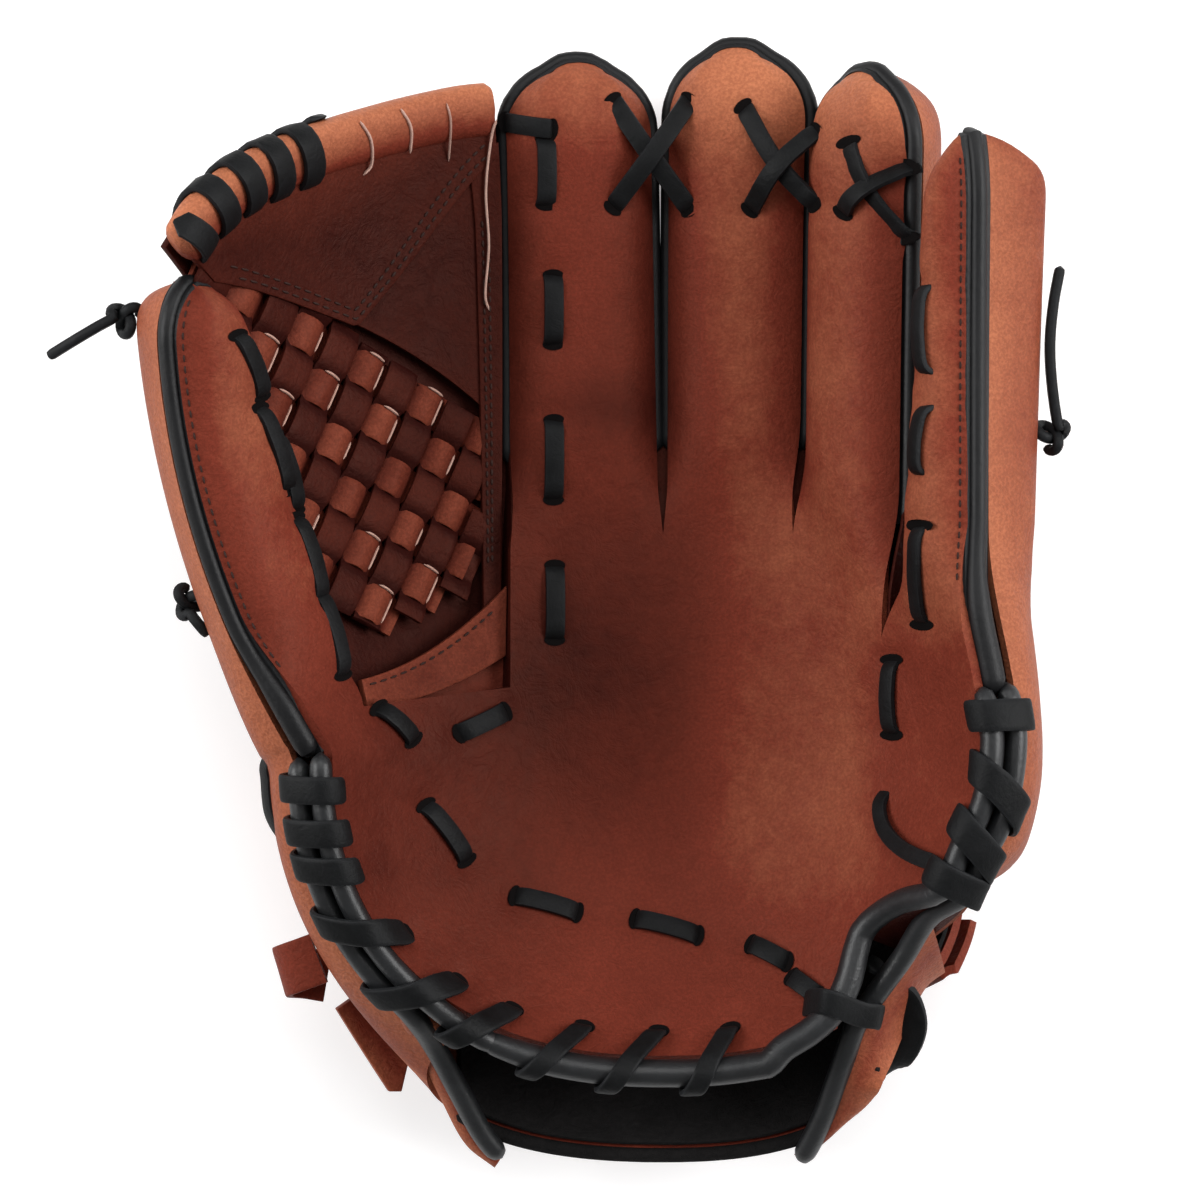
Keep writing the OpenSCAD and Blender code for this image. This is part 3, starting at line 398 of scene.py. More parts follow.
@dataclass(frozen=True)
class Pattern:
    """Plan outlines of the leather pieces and the heights of their fronts and backs, in millimetres.

    Each piece has columns c; s runs from -1 to 1 across a column, and j counts rows from heel to tip.
    """

    index_w: float = 42
    middle_w: float = 35.5
    ring_w: float = 26
    index_len: float = 127
    middle_len: float = 131
    ring_len: float = 129
    pinky_top: float = 121
    thumb_tip: float = 82
    slit_gap: float = 2.4
    crown: float = 4
    tip_from: float = 0.86
    tip_run: float = 0.14
    tip_least: float = 0.34
    tip_crest: float = 1.7
    crest_from: float = 0.7
    crest_run: float = 0.3
    soft_rows: float = 0.6
    soft_from: float = 3.4
    edge_roll: float = 6
    stall_depth: float = 28
    thumb_depth: float = 26
    pinky_depth: float = 32
    leather_t: float = 2.6
    seam_t: float = 6.4
    heel_seam: float = 11.9
    wrist_depth: float = 42
    wrist_mid: float = 10
    wrist_left: float = 58
    wrist_right: float = 64
    wrist_run: float = 0.35
    strap_room: float = 8
    strap_from: float = 0.32
    strap_run: float = 0.25
    ground_more: float = 7
    ground_gap: float = 0.02
    thumb_swell: float = 0.28
    pinky_swell: float = 0.45
    split_x: float = -24.6
    notch: tuple[float, float] = (70, -90)
    notch_w: float = 6
    notch_run: float = 22
    heel_xs: Place = (12, 41, 64)
    crotch_drops: tuple[float, ...] = (4, 0, 0, 26)
    crotch_y: float = 18
    web_low: float = -24
    thumb_low: float = -30
    pinky_low: float = -10
    thumb_share: float = 0.26
    palm_rows: int = 6
    stall_rows: int = 8
    row_crowd: float = 1.5
    shape_run: float = 0.25
    slit_run: float = 0.1
    pinky_lean: float = 0.075

    @property
    def full(self) -> int:
        """The row of the stalls' tips."""
        return self.palm_rows + self.stall_rows

    def pinky_line(self, y: Array) -> Array:
        """Returns the crease between ring finger and little finger."""
        return self.notch[0] + self.pinky_lean * (y - self.notch[1])

    def palm_t(self, j: Array) -> Array:
        """Returns the share of the way from heel to crotch."""
        return np.minimum(1, j / self.palm_rows)

    def stall_t(self, j: Array) -> Array:
        """Returns the share of the way from crotch to tip."""
        return 1 - (1 - np.clip((j - self.palm_rows) / self.stall_rows, 0, 1)) ** self.row_crowd

    def tip_share(self, t: Array) -> Array:
        """Returns how far into the rounded tip a share of the stall lies."""
        return np.clip((t - self.tip_from) / self.tip_run, 0, 1)

    def tip_narrow(self, t: Array) -> Array:
        """Returns the stall's width there as a share of its full width."""
        return np.maximum(self.tip_least, np.sqrt(1 - self.tip_share(t) ** 2))

    def crest(self, s: Array, t: Array) -> Array:
        """Returns how far a stall's rounded tip stands past its end line."""
        return self.tip_crest * ease((self.tip_share(t) - self.crest_from) / self.crest_run) * (1 - s * s)

    def shaped(self, j: Array) -> Array:
        """Returns how far the palm has turned into separate stalls."""
        return ease(self.stall_t(j) / self.shape_run)

    def palm_edge(self, k: int, t: Array) -> tuple[Array, Array]:
        """Returns the palm's line k, from the heel rim to a finger crotch.

        Args:
            k: Which line, counted from the thumb side.
            t: Shares of the way up it.
        """
        heel_x = (self.split_x, *self.heel_xs)[k]
        end_x = self.split_x + (0, self.index_w, self.index_w + self.middle_w, 0)[k]
        x = mix(heel_x, end_x, t)
        y = mix(LAST.rim_y(np.float64(heel_x)), self.crotch_y - self.crotch_drops[k], t)
        if k == 3:
            x = self.pinky_line(y) - self.notch_w * np.clip((self.notch[1] - y) / self.notch_run, 0, 1)
        return x, y

    def palm(self, c: int, s: Array, j: Array) -> tuple[Array, Array]:
        """Forms the palm; columns 0, 1 and 2 run up into the index, middle and ring stalls.

        Args:
            c: The column.
            s: Places across it.
            j: Rows.

        Returns:
            Plan points.
        """
        m, t = (1 + s) / 2, self.palm_t(j)
        (ax, ay), (bx, by) = self.palm_edge(c, t), self.palm_edge(c + 1, t)
        zero = np.zeros_like(t)
        (a0, a1), (b0, b1) = self.palm_edge(c, zero), self.palm_edge(c + 1, zero)
        bow = (LAST.rim_y(mix(a0, b0, m)) - mix(a1, b1, m)) * (1 - t)
        x, y = mix(ax, bx, m), mix(ay, by, m) + bow
        second = self.split_x + self.index_w
        third = second + self.middle_w
        tip = (
            (self.split_x + self.index_w / 2 - 1.5, self.crotch_y + self.index_len, self.index_w - 2),
            (second + self.middle_w / 2 + 1, self.crotch_y + self.middle_len, self.middle_w + 1),
            (third + self.ring_w / 2, self.crotch_y - 6 + self.ring_len, self.ring_w - 1),
        )[c]
        one = np.ones_like(t)
        (cx, cy), (dx, dy) = self.palm_edge(c, one), self.palm_edge(c + 1, one)
        v = self.stall_t(j)
        lx, ly = mix(cx, tip[0] - tip[2] / 2, v), mix(cy, tip[1], v)
        rx, ry = mix(dx, tip[0] + tip[2] / 2, v), mix(dy, tip[1], v)
        half = np.hypot(rx - lx, ry - ly) / 2
        wide = (1 - self.slit_gap / 2 / half * np.clip(v / self.slit_run, 0, 1)) * self.tip_narrow(v) * s
        up = j > self.palm_rows
        return (
            np.where(up, (lx + rx) / 2 + (rx - lx) / 2 * wide, x),
            np.where(up, (ly + ry) / 2 + (ry - ly) / 2 * wide + self.crest(s, v), y),
        )

    def thumb_row(self, t: Array, m: Array) -> tuple[Array, Array]:
        """Returns plan points of the thumb side's rows.

        Args:
            t: Shares of the way from heel to web.
            m: Shares of the way from the rim to the fold.
        """
        y = mix(LAST.bowl_y - 0.86 * LAST.heel_reach, self.thumb_low, t)
        right = mix(LAST.rim_y(np.float64(self.split_x)), self.web_low, t)
        return mix(LAST.thumb_rim(y), self.split_x, m), mix(y, right, m)

    def thumb(self, c: int, s: Array, j: Array) -> tuple[Array, Array]:
        """Forms the thumb side; column 0 runs up into the thumb, column 1 ends at the web.

        Args:
            c: The column.
            s: Places across it.
            j: Rows.

        Returns:
            Plan points.
        """
        m = (1 + s) / 2
        x, y = self.thumb_row(self.palm_t(j), self.thumb_share * m if c == 0 else mix(self.thumb_share, 1, m))
        if c == 1:
            return x, y
        v = self.stall_t(j)
        yy = mix(self.thumb_low, self.thumb_tip, v)
        lx, ly = LAST.thumb_rim(yy), yy
        bx, by = self.thumb_row(np.ones_like(v), np.full_like(v, self.thumb_share))
        tip = np.float64(self.thumb_tip)
        rx, ry = mix(bx, LAST.thumb_rim(tip) + 12, v), mix(by, tip, v)
        wide = s * self.tip_narrow(v)
        up = j > self.palm_rows
        return (
            np.where(up, (lx + rx) / 2 + (rx - lx) / 2 * wide, x),
            np.where(up, (ly + ry) / 2 + (ry - ly) / 2 * wide, y),
        )

    def pinky(self, c: int, s: Array, j: Array) -> tuple[Array, Array]:
        """Forms the little-finger side, which has one column.

        Args:
            c: The column, always 0; not used.
            s: Places across it.
            j: Rows.

        Returns:
            Plan points.
        """
        m, t, v = (1 + s) / 2, self.palm_t(j), self.stall_t(j)
        y = mix(self.notch[1], self.pinky_low, t)
        lx = self.pinky_line(y)
        ry = mix(self.notch[1] + 12, self.pinky_low, t)
        yy = mix(self.pinky_low, self.pinky_top, v)
        sx = self.pinky_line(yy) + self.slit_gap * np.clip(v / self.slit_run, 0, 1)
        rx = LAST.pinky_rim(yy)
        up = j > self.palm_rows
        x = (sx + rx) / 2 + (rx - sx) / 2 * s * self.tip_narrow(v)
        return (
            np.where(up, x, mix(lx, LAST.pinky_rim(ry), m)),
            np.where(up, yy + self.crest(s, v), mix(y, ry, m)),
        )

    def front_h(self, s: Array, j: Array) -> Array:
        """Returns the height of a stall's front leather.

        Args:
            s: Places across the column.
            j: Rows.
        """
        e = self.tip_share(self.stall_t(j))
        roll = np.maximum(np.abs(s) ** 5, e**4)
        return self.shaped(j) * (self.crown * (1 - s * s) * (1 - e * e) - self.edge_roll * roll)

    def stall_back_h(self, s: Array, j: Array, deep: float) -> Array:
        """Returns the height of a stall's back leather, its outer face.

        Args:
            s: Places across the column.
            j: Rows.
            deep: The stall's depth.
        """
        e = self.tip_share(self.stall_t(j))
        seam = self.edge_roll + self.seam_t
        return -seam - (deep - seam) * (1 - np.abs(s) ** 3.5) * (1 - e**4)

    def palm_back_h(self, x: Array, y: Array, j: Array) -> Array:
        """Returns the height of the hand's back, flat on the ground and opening downwards at the wrist.

        Args:
            x: Plan positions across the glove.
            y: Plan positions from heel to tips.
            j: Rows.
        """
        lift = self.strap_room * (1 - ease((self.palm_t(j) - self.strap_from) / self.strap_run))
        room = (LAST.pocket(x, y) - lift) / LAST.lean(x, y)[..., 2] - self.ground_gap
        ground = -np.minimum(LAST.stack + self.ground_more, room)
        half = np.where(x > self.wrist_mid, self.wrist_right, self.wrist_left)
        side = 1 - np.clip(np.abs(x - self.wrist_mid) / half, 0, 1) ** 4
        wrist = -(self.heel_seam + (self.wrist_depth - self.heel_seam) * side)
        return mix(wrist, ground, ease(self.palm_t(j) / self.wrist_run))

    def finger_back_h(self, c: int, s: Array, j: Array) -> Array:
        """Returns the height of the hand's back and the backs of its three stalls."""
        x, y = self.palm(c, s, np.minimum(j, self.palm_rows))
        return mix(self.palm_back_h(x, y, j), self.stall_back_h(s, j, self.stall_depth), self.shaped(j))

    def thumb_back_h(self, c: int, s: Array, j: Array) -> Array:
        """Returns the height of the thumb side's back, which closes to the rim seam.

        Args:
            c: The column.
            s: Places across the column.
            j: Rows.
        """
        m = self.thumb_share * (1 + s) / 2 if c == 0 else mix(self.thumb_share, 1, (1 + s) / 2)
        x, y = self.thumb(1, np.ones_like(s), np.minimum(j, self.palm_rows))
        swell = np.sin(np.pi / 2 * np.clip(m, 0, 1)) ** self.thumb_swell
        palm = mix(-self.heel_seam, self.palm_back_h(x, y, j), swell)
        return mix(palm, self.stall_back_h(s, j, self.thumb_depth), self.shaped(j))

    def pinky_back_h(self, c: int, s: Array, j: Array) -> Array:
        """Returns the height of the little-finger side's back.

        Args:
            c: The column, always 0; not used.
            s: Places across the column.
            j: Rows.
        """
        x, y = self.pinky(0, -np.ones_like(s), np.minimum(j, self.palm_rows))
        swell = np.sin(np.pi / 2 * np.clip((1 - s) / 2, 0, 1)) ** self.pinky_swell
        palm = mix(-self.heel_seam, self.palm_back_h(x, y, j), swell)
        return mix(palm, self.stall_back_h(s, j, self.pinky_depth), self.shaped(j))


CUT = Pattern()


# Finishes


def group_of(
    name: str, inputs: Sequence[tuple[str, str, float]], outputs: Sequence[tuple[str, str]]
) -> tuple[Tree, bpy.types.Node, bpy.types.Node]:
    """Starts a shader node group.

    Args:
        name: The group's name.
        inputs: Name, socket type and default of each input.
        outputs: Name and socket type of each output.

    Returns:
        The group, its input node and its output node.
    """
    group = bpy.data.node_groups.new(name, "ShaderNodeTree")
    for label, kind, value in inputs:
        socket = group.interface.new_socket(name=label, in_out="INPUT", socket_type=kind)
        if kind == "NodeSocketFloat":
            socket.default_value = value
    for label, kind in outputs:
        group.interface.new_socket(name=label, in_out="OUTPUT", socket_type=kind)
    return group, group.nodes.new("NodeGroupInput"), group.nodes.new("NodeGroupOutput")


def node(
    tree: Tree, kind: str, values: dict | None = None, **settings: object
) -> bpy.types.Node:
    """Adds a node to a tree.

    Args:
        tree: The node tree.
        kind: The node's type without its ShaderNode prefix.
        values: Socket values by input name or number.
        **settings: Properties of the node.

    Returns:
        The new node.
    """
    made = tree.nodes.new("ShaderNode" + kind)
    for key, value in settings.items():
        setattr(made, key, value)
    for key, value in (values or {}).items():
        made.inputs[key].default_value = value
    return made


def maths(tree: Tree, operation: str, a: object, b: object = 0.0) -> bpy.types.NodeSocket:
    """Adds a maths node.

    Args:
        tree: The node tree.
        operation: What it works out.
        a: Its first input, a socket or a number.
        b: Its second input.

    Returns:
        Its output.
    """
    made = node(tree, "Math", operation=operation)
    for slot, value in zip(made.inputs, (a, b)):
        if isinstance(value, bpy.types.NodeSocket):
            tree.links.new(value, slot)
        else:
            slot.default_value = value
    return made.outputs[0]


def grain_group() -> Tree:
    """Returns the hide grain: pebbles, pores and soft creases as a height, and the pores as a mask."""
    if "hide_grain" in bpy.data.node_groups:
        return bpy.data.node_groups["hide_grain"]
    tree, enter, leave = group_of(
        "hide_grain",
        [
            ("Vector", "NodeSocketVector", 0),
            ("Scale", "NodeSocketFloat", 700),
            ("Creases", "NodeSocketFloat", 0.5),
        ],
        [("Height", "NodeSocketFloat"), ("Pores", "NodeSocketFloat")],
    )
    link = tree.links.new
    pebble = node(tree, "TexVoronoi", feature="SMOOTH_F1")
    fine = node(tree, "TexNoise", {"Detail": 4.0, "Roughness": 0.6})
    crease = node(tree, "TexNoise", {"Scale": 130.0, "Detail": 5.0, "Roughness": 0.65, "Distortion": 0.9})
    for part in (pebble, fine, crease):
        link(enter.outputs["Vector"], part.inputs["Vector"])
    link(enter.outputs["Scale"], pebble.inputs["Scale"])
    link(maths(tree, "MULTIPLY", enter.outputs["Scale"], 1.7), fine.inputs["Scale"])
    ridge = maths(tree, "ABSOLUTE", maths(tree, "SUBTRACT", crease.outputs[0], 0.5))
    valley = maths(tree, "MULTIPLY", maths(tree, "MINIMUM", ridge, 0.08), enter.outputs["Creases"])
    coarse = maths(tree, "MULTIPLY", pebble.outputs["Distance"], 0.5)
    height = maths(tree, "ADD", coarse, maths(tree, "MULTIPLY", fine.outputs[0], 0.6))
    link(maths(tree, "ADD", height, maths(tree, "MULTIPLY", valley, 9.0)), leave.inputs["Height"])
    pores = node(tree, "MapRange", {"From Min": 0.62, "From Max": 0.42, "To Min": 0.0, "To Max": 1.0})
    link(fine.outputs[0], pores.inputs["Value"])
    link(pores.outputs["Result"], leave.inputs["Pores"])
    return tree


def wear_and_shading_group() -> Tree:
    """Returns the tone mask: high where a surface is lightened by wear and by painted light, low where it is darkened
    by painted shade, shifted by random blotches.
    """
    if "rubbed_tone" in bpy.data.node_groups:
        return bpy.data.node_groups["rubbed_tone"]
    tree, enter, leave = group_of(
        "rubbed_tone",
        [
            ("Vector", "NodeSocketVector", 0),
            ("Rub", "NodeSocketFloat", 0),
            ("Patchy", "NodeSocketFloat", 0.3),
        ],
        [("Mask", "NodeSocketFloat"), ("Blotch", "NodeSocketFloat")],
    )
    link = tree.links.new
    broad = node(tree, "TexNoise", {"Scale": 34.0, "Detail": 3.0})
    small = node(tree, "TexNoise", {"Scale": 260.0, "Detail": 4.0, "Roughness": 0.65})
    for part in (broad, small):
        link(enter.outputs["Vector"], part.inputs["Vector"])
    wide = maths(tree, "MULTIPLY", broad.outputs[0], 0.6)
    blotch = maths(tree, "ADD", wide, maths(tree, "MULTIPLY", small.outputs[0], 0.4))
    shift = maths(tree, "MULTIPLY", maths(tree, "SUBTRACT", blotch, 0.5), enter.outputs["Patchy"])
    total = node(tree, "Clamp")
    link(maths(tree, "ADD", enter.outputs["Rub"], maths(tree, "MULTIPLY", shift, 3.0)), total.inputs["Value"])
    link(total.outputs[0], leave.inputs["Mask"])
    link(blotch, leave.inputs["Blotch"])
    return tree


@dataclass(frozen=True)
class Hide:
    """A leather finish: its tones from painted shade to rubbed wear and painted light, its grain and its gloss."""

    name: str
    slot: str
    deep: Colour
    rubbed_and_lit: Colour
    pore: Colour
    middle: Colour | None = None
    grain: float = 700
    bump: float = 0.25
    creases: float = 0.5
    patchy: float = 0.3
    rough: tuple[float, float] = (0.42, 0.62)
    specular: float = 0.4
    sheen_tone: Colour = (1, 1, 1)

    def material(self) -> bpy.types.Material:
        """Returns the finish as a material, made once."""
        if self.name in bpy.data.materials:
            return bpy.data.materials[self.name]
        made = bpy.data.materials.new(self.name)
        made.use_nodes = True
        tree = made.node_tree
        link = tree.links.new
        shader = tree.nodes["Principled BSDF"]
        shader.inputs["Specular IOR Level"].default_value = self.specular
        shader.inputs["Specular Tint"].default_value = (*self.sheen_tone, 1)
        where = node(tree, "TexCoord").outputs["Object"]
        rub = node(tree, "Attribute", attribute_name="rub").outputs["Fac"]
        tone = node(tree, "Group", node_tree=wear_and_shading_group())
        tone.inputs["Patchy"].default_value = self.patchy
        grain = node(tree, "Group", node_tree=grain_group())
        grain.inputs["Scale"].default_value = self.grain
        grain.inputs["Creases"].default_value = self.creases
        link(where, tone.inputs["Vector"])
        link(rub, tone.inputs["Rub"])
        link(where, grain.inputs["Vector"])
        # The ramp runs from the deep tone, which stands for painted shade, to the light tone, which stands for rubbed
        # wear and painted light.
        colour = node(tree, "ValToRGB")
        stops = colour.color_ramp.elements
        stops[0].color, stops[1].color = (*self.deep, 1), (*self.rubbed_and_lit, 1)
        stops.new(0.5).color = (*(self.middle or [(a + b) / 2 for a, b in zip(self.deep, self.rubbed_and_lit)]), 1)
        link(tone.outputs["Mask"], colour.inputs["Fac"])
        pored = node(tree, "Mix", data_type="RGBA")
        pored.inputs["B"].default_value = (*self.pore, 1)
        link(maths(tree, "MULTIPLY", grain.outputs["Pores"], 0.28), pored.inputs["Factor"])
        link(colour.outputs["Color"], pored.inputs["A"])
        link(pored.outputs["Result"], shader.inputs["Base Color"])
        low, high = self.rough
        gloss = node(tree, "MapRange", {"From Min": 0.3, "From Max": 0.7, "To Min": low, "To Max": high})
        link(tone.outputs["Blotch"], gloss.inputs["Value"])
        link(gloss.outputs["Result"], shader.inputs["Roughness"])
        bump = node(tree, "Bump", {"Strength": self.bump, "Distance": 0.0006})
        link(grain.outputs["Height"], bump.inputs["Height"])
        link(bump.outputs["Normal"], shader.inputs["Normal"])
        return made


PALM_HIDE = Hide(
    "palm_hide", "leather", (0.024, 0.0034, 0.0028), (0.50, 0.175, 0.085), (0.04, 0.007, 0.004),
    (0.165, 0.029, 0.0165), bump=0.4, patchy=0.16, specular=0.2, sheen_tone=(0.9, 0.4, 0.28))
WEB_HIDE = Hide(
    "web_hide", "web_leather", (0.021, 0.0034, 0.0027), (0.34, 0.085, 0.045), (0.012, 0.0025, 0.002),
    (0.10, 0.019, 0.011), bump=0.4, patchy=0.16, specular=0.14, sheen_tone=(0.9, 0.4, 0.3))
LACE_HIDE = Hide(
    "lace_hide", "lace", (0.004, 0.0042, 0.0044), (0.022, 0.023, 0.025), (0.003, 0.003, 0.003),
    grain=900, bump=0.2, rough=(0.44, 0.6), specular=0.1)
ROLL_HIDE = Hide(
    "roll_hide", "welt", (0.007, 0.0074, 0.008), (0.035, 0.037, 0.041), (0.004, 0.004, 0.004),
    grain=800, bump=0.15, rough=(0.36, 0.48), specular=0.4)
WELT_HIDE = Hide(
    "welt_hide", "welt", (0.0045, 0.0045, 0.005), (0.018, 0.018, 0.02), (0.003, 0.003, 0.003),
    grain=800, bump=0.15, rough=(0.4, 0.55), specular=0.22)
CUT_EDGE = Hide(
    "cut_edge", "leather", (0.36, 0.19, 0.14), (0.70, 0.50, 0.43), (0.25, 0.11, 0.08),
    grain=1400, bump=0.3, rough=(0.75, 0.9), specular=0.15)
HOLE_SHADE = Hide(
    "hole_shade", "lace", (0.004, 0.003, 0.003), (0.008, 0.007, 0.007), (0.003, 0.003, 0.003),
    rough=(0.8, 0.95), specular=0.05)
FELT = Hide(
    "wool_felt", "felt", (0.24, 0.17, 0.11), (0.36, 0.27, 0.18), (0.18, 0.12, 0.08),
    grain=1500, bump=0.5, rough=(0.9, 1.0), specular=0.1)
LINING = Hide(
    "fleece_lining", "lining", (0.006, 0.0055, 0.0055), (0.022, 0.02, 0.02), (0.003, 0.003, 0.003),
    grain=420, bump=0.9, rough=(0.85, 1.0), specular=0.1)
TAPE = Hide(
    "hook_tape", "fastener", (0.016, 0.016, 0.017), (0.04, 0.04, 0.042), (0.006, 0.006, 0.006),
    grain=1100, bump=0.8, rough=(0.8, 0.95), specular=0.2)
THREAD = Hide(
    "thread", "welt", (0.02, 0.008, 0.006), (0.05, 0.02, 0.015), (0.01, 0.004, 0.003),
    grain=2500, rough=(0.6, 0.8), specular=0.2)


# Stock and forming


def clear_selection() -> None:
    """Leaves edit mode and deselects everything."""
    if bpy.context.object and bpy.context.object.mode != "OBJECT":
        bpy.ops.object.mode_set(mode="OBJECT")
    bpy.ops.object.select_all(action="DESELECT")


def pick(obj: Object) -> None:
    """Makes one object the only selected and active one.

    Args:
        obj: The object.
    """
    clear_selection()
    obj.select_set(True)
    bpy.context.view_layer.objects.active = obj


def points_of(mesh: bpy.types.Mesh) -> Array:
    """Returns a mesh's points, one row each.

    Args:
        mesh: The mesh.
    """
    flat = np.empty(len(mesh.vertices) * 3)
    mesh.vertices.foreach_get("co", flat)
    return flat.reshape(-1, 3)


def set_points(mesh: bpy.types.Mesh, points: Array) -> None:
    """Moves a mesh's points."""
    mesh.vertices.foreach_set("co", np.ascontiguousarray(points, float).ravel())
    mesh.update()


def set_wear_and_shading(mesh: bpy.types.Mesh, rub: Array | float) -> None:
    """Stores each point's tone, from 0 to 1: rubbed wear together with painted light and shade."""
    made = mesh.attributes.get("rub") or mesh.attributes.new("rub", "FLOAT", "POINT")
    made.data.foreach_set("value", np.broadcast_to(np.asarray(rub, np.float32), (len(mesh.vertices),)).copy())


def blank(name: str, across: int, along: int) -> Object:
    """Returns a flat blank: a grid from -1 to 1 both ways.

    Args:
        name: The object's name.
        across: Cells across.
        along: Cells along.
    """
    clear_selection()
    bpy.ops.mesh.primitive_grid_add(x_subdivisions=across, y_subdivisions=along, size=2, location=(0, 0, 0))
    made = bpy.context.object
    made.name = made.data.name = name
    return made


@dataclass
class RodStock:
    """Round rods cut into rings; each is modelled once and copied."""

    rods: dict[tuple[int, int], bpy.types.Mesh] = field(default_factory=dict)

    def rod(self, sides: int, rings: int) -> bpy.types.Mesh:
        """Returns a rod along Z from -1 to 1, with closed ends.

        Args:
            sides: Faces round it.
            rings: Lengths it is cut into.
        """
        key = (sides, rings)
        if key not in self.rods:
            clear_selection()
            bpy.ops.mesh.primitive_cylinder_add(vertices=sides, radius=1, depth=2, location=(0, 0, 0))
            made = bpy.context.object
            mesh = made.data
            bpy.ops.object.mode_set(mode="EDIT")
            bpy.ops.mesh.select_mode(type="EDGE")
            bpy.ops.mesh.select_all(action="DESELECT")
            bpy.ops.object.mode_set(mode="OBJECT")
            for edge in mesh.edges:
                a, b = (mesh.vertices[k].co for k in edge.vertices)
                edge.select = abs(a.z - b.z) > 1
            bpy.ops.object.mode_set(mode="EDIT")
            bpy.ops.mesh.subdivide(number_cuts=rings - 1)
            bpy.ops.object.mode_set(mode="OBJECT")
            self.rods[key] = mesh.copy()
            bpy.data.objects.remove(made)
        return self.rods[key].copy()

    def discard(self) -> None:
        """Removes the pattern rods once every piece is made."""
        for mesh in self.rods.values():
            bpy.data.meshes.remove(mesh)
        self.rods.clear()


RODS = RodStock()


def run_of(points: Array) -> Array:
    """Returns the distance run along a line at each of its points."""
    return np.concatenate([[0], np.cumsum(np.linalg.norm(np.diff(points, axis=0), axis=1))])


def met(at: Array, run: Array, values: Array) -> Array:
    """Returns the rows of values that are met at distances along a run."""
    return np.stack([np.interp(at, run, column) for column in np.asarray(values, float).T], -1)


def smooth_path(points: Array, step: float = 1.5) -> Array:
    """Runs a smooth curve through points.

    Args:
        points: Places in metres, one row each.
        step: Spacing of the points that come back, in millimetres.

    Returns:
        Evenly spaced places along the curve.
    """
    points = np.asarray(points, float)
    ends = np.vstack([2 * points[0] - points[1], points, 2 * points[-1] - points[-2]])
    t = np.linspace(0, 1, 13)[:-1, None]
    parts = []
    for a, b, c, d in zip(ends, ends[1:], ends[2:], ends[3:]):
        start = 2 * b + (c - a) * t
        parts.append(0.5 * (start + (2 * a - 5 * b + 4 * c - d) * t**2 + (3 * b - a - 3 * c + d) * t**3))
    curve = np.vstack([*parts, points[-1:]])
    run = run_of(curve)
    count = max(6, int(round(run[-1] / (step * MM))))
    return met(np.linspace(0, run[-1], count + 1), run, curve)


def smooth_with(points: Array, flank: Array, step: float = 1.5) -> tuple[Array, Array]:
    """Runs a smooth curve through points and carries a direction along with it.

    Args:
        points: Places in metres, one row each.
        flank: The direction at each place.
        step: Spacing of the points that come back, in millimetres.

    Returns:
        Evenly spaced places along the curve and the direction at each.
    """
    path = smooth_path(points, step)
    run = run_of(np.asarray(points, float))
    return path, met(np.linspace(0, run[-1], len(path)), run, flank)


def swept(
    name: str, path: Array, flank: Array, width: float, thick: float, square: float = ROUND, sides: int = 12,
    round_ends: float = 0.0, swell: Array | float = 1.0,
) -> Object:
    """Bends a rod along a path.

    Args:
        name: The piece's name.
        path: Places along its middle, in metres.
        flank: Direction of its width at each place.
        width: Its width in millimetres.
        thick: Its thickness in millimetres.
        square: 2 for a round section, more for a flat one with rounded edges.
        sides: Faces round the section.
        round_ends: Length over which each end rounds off, in millimetres.
        swell: Scale of the section at each place.

    Returns:
        The bent piece, shaded smooth.
    """
    rings = len(path) - 1
    mesh = RODS.rod(sides, rings)
    mesh.name = name
    made = bpy.data.objects.new(name, mesh)
    bpy.context.scene.collection.objects.link(made)
    flat = points_of(mesh)
    ring = np.rint((flat[:, 2] + 1) / 2 * rings).astype(int)
    turn = np.arctan2(flat[:, 1], flat[:, 0])
    along = unit(np.gradient(path, axis=0))
    up = unit(np.cross(along, np.broadcast_to(flank, path.shape)))
    side = np.cross(up, along)
    size = np.broadcast_to(np.asarray(swell, float), (rings + 1,)).copy()
    if round_ends:
        run = run_of(path) / MM
        near = np.minimum(run, run[-1] - run) / round_ends
        size *= np.sqrt(np.clip(1 - (1 - np.clip(near, 0, 1)) ** 2, 0.02, 1))
    c, s = np.cos(turn), np.sin(turn)
    a = np.sign(c) * np.abs(c) ** (2 / square) * width / 2 * size[ring] * MM
    b = np.sign(s) * np.abs(s) ** (2 / square) * thick / 2 * size[ring] * MM
    set_points(mesh, path[ring] + side[ring] * a[:, None] + up[ring] * b[:, None])
    edge = np.abs(c) ** 6 if square > 2.5 else np.zeros_like(c)
    set_wear_and_shading(mesh, 0.15 + 0.5 * edge)
    pick(made)
    bpy.ops.object.mode_set(mode="EDIT")
    bpy.ops.mesh.select_all(action="SELECT")
    bpy.ops.mesh.normals_make_consistent(inside=False)
    bpy.ops.object.mode_set(mode="OBJECT")
    soften(made)
    return made


def joined(name: str, parts: Sequence[Object]) -> Object:
    """Joins objects into one piece, names it and returns it.

    Args:
        name: The piece's name.
        parts: The objects, which become one.
    """
    clear_selection()
    for part in parts:
        part.select_set(True)
    bpy.context.view_layer.objects.active = parts[0]
    if len(parts) > 1:
        bpy.ops.object.join()
    made = bpy.context.object
    made.name = made.data.name = name
    return made


def apply(obj: Object, kind: str, **settings: object) -> None:
    """Adds a modifier to an object and applies it.

    Args:
        obj: The object.
        kind: The modifier's type.
        **settings: Properties of the modifier.
    """
    pick(obj)
    made = obj.modifiers.new(kind.lower(), kind)
    for key, value in settings.items():
        setattr(made, key, value)
    bpy.ops.object.modifier_apply(modifier=made.name)


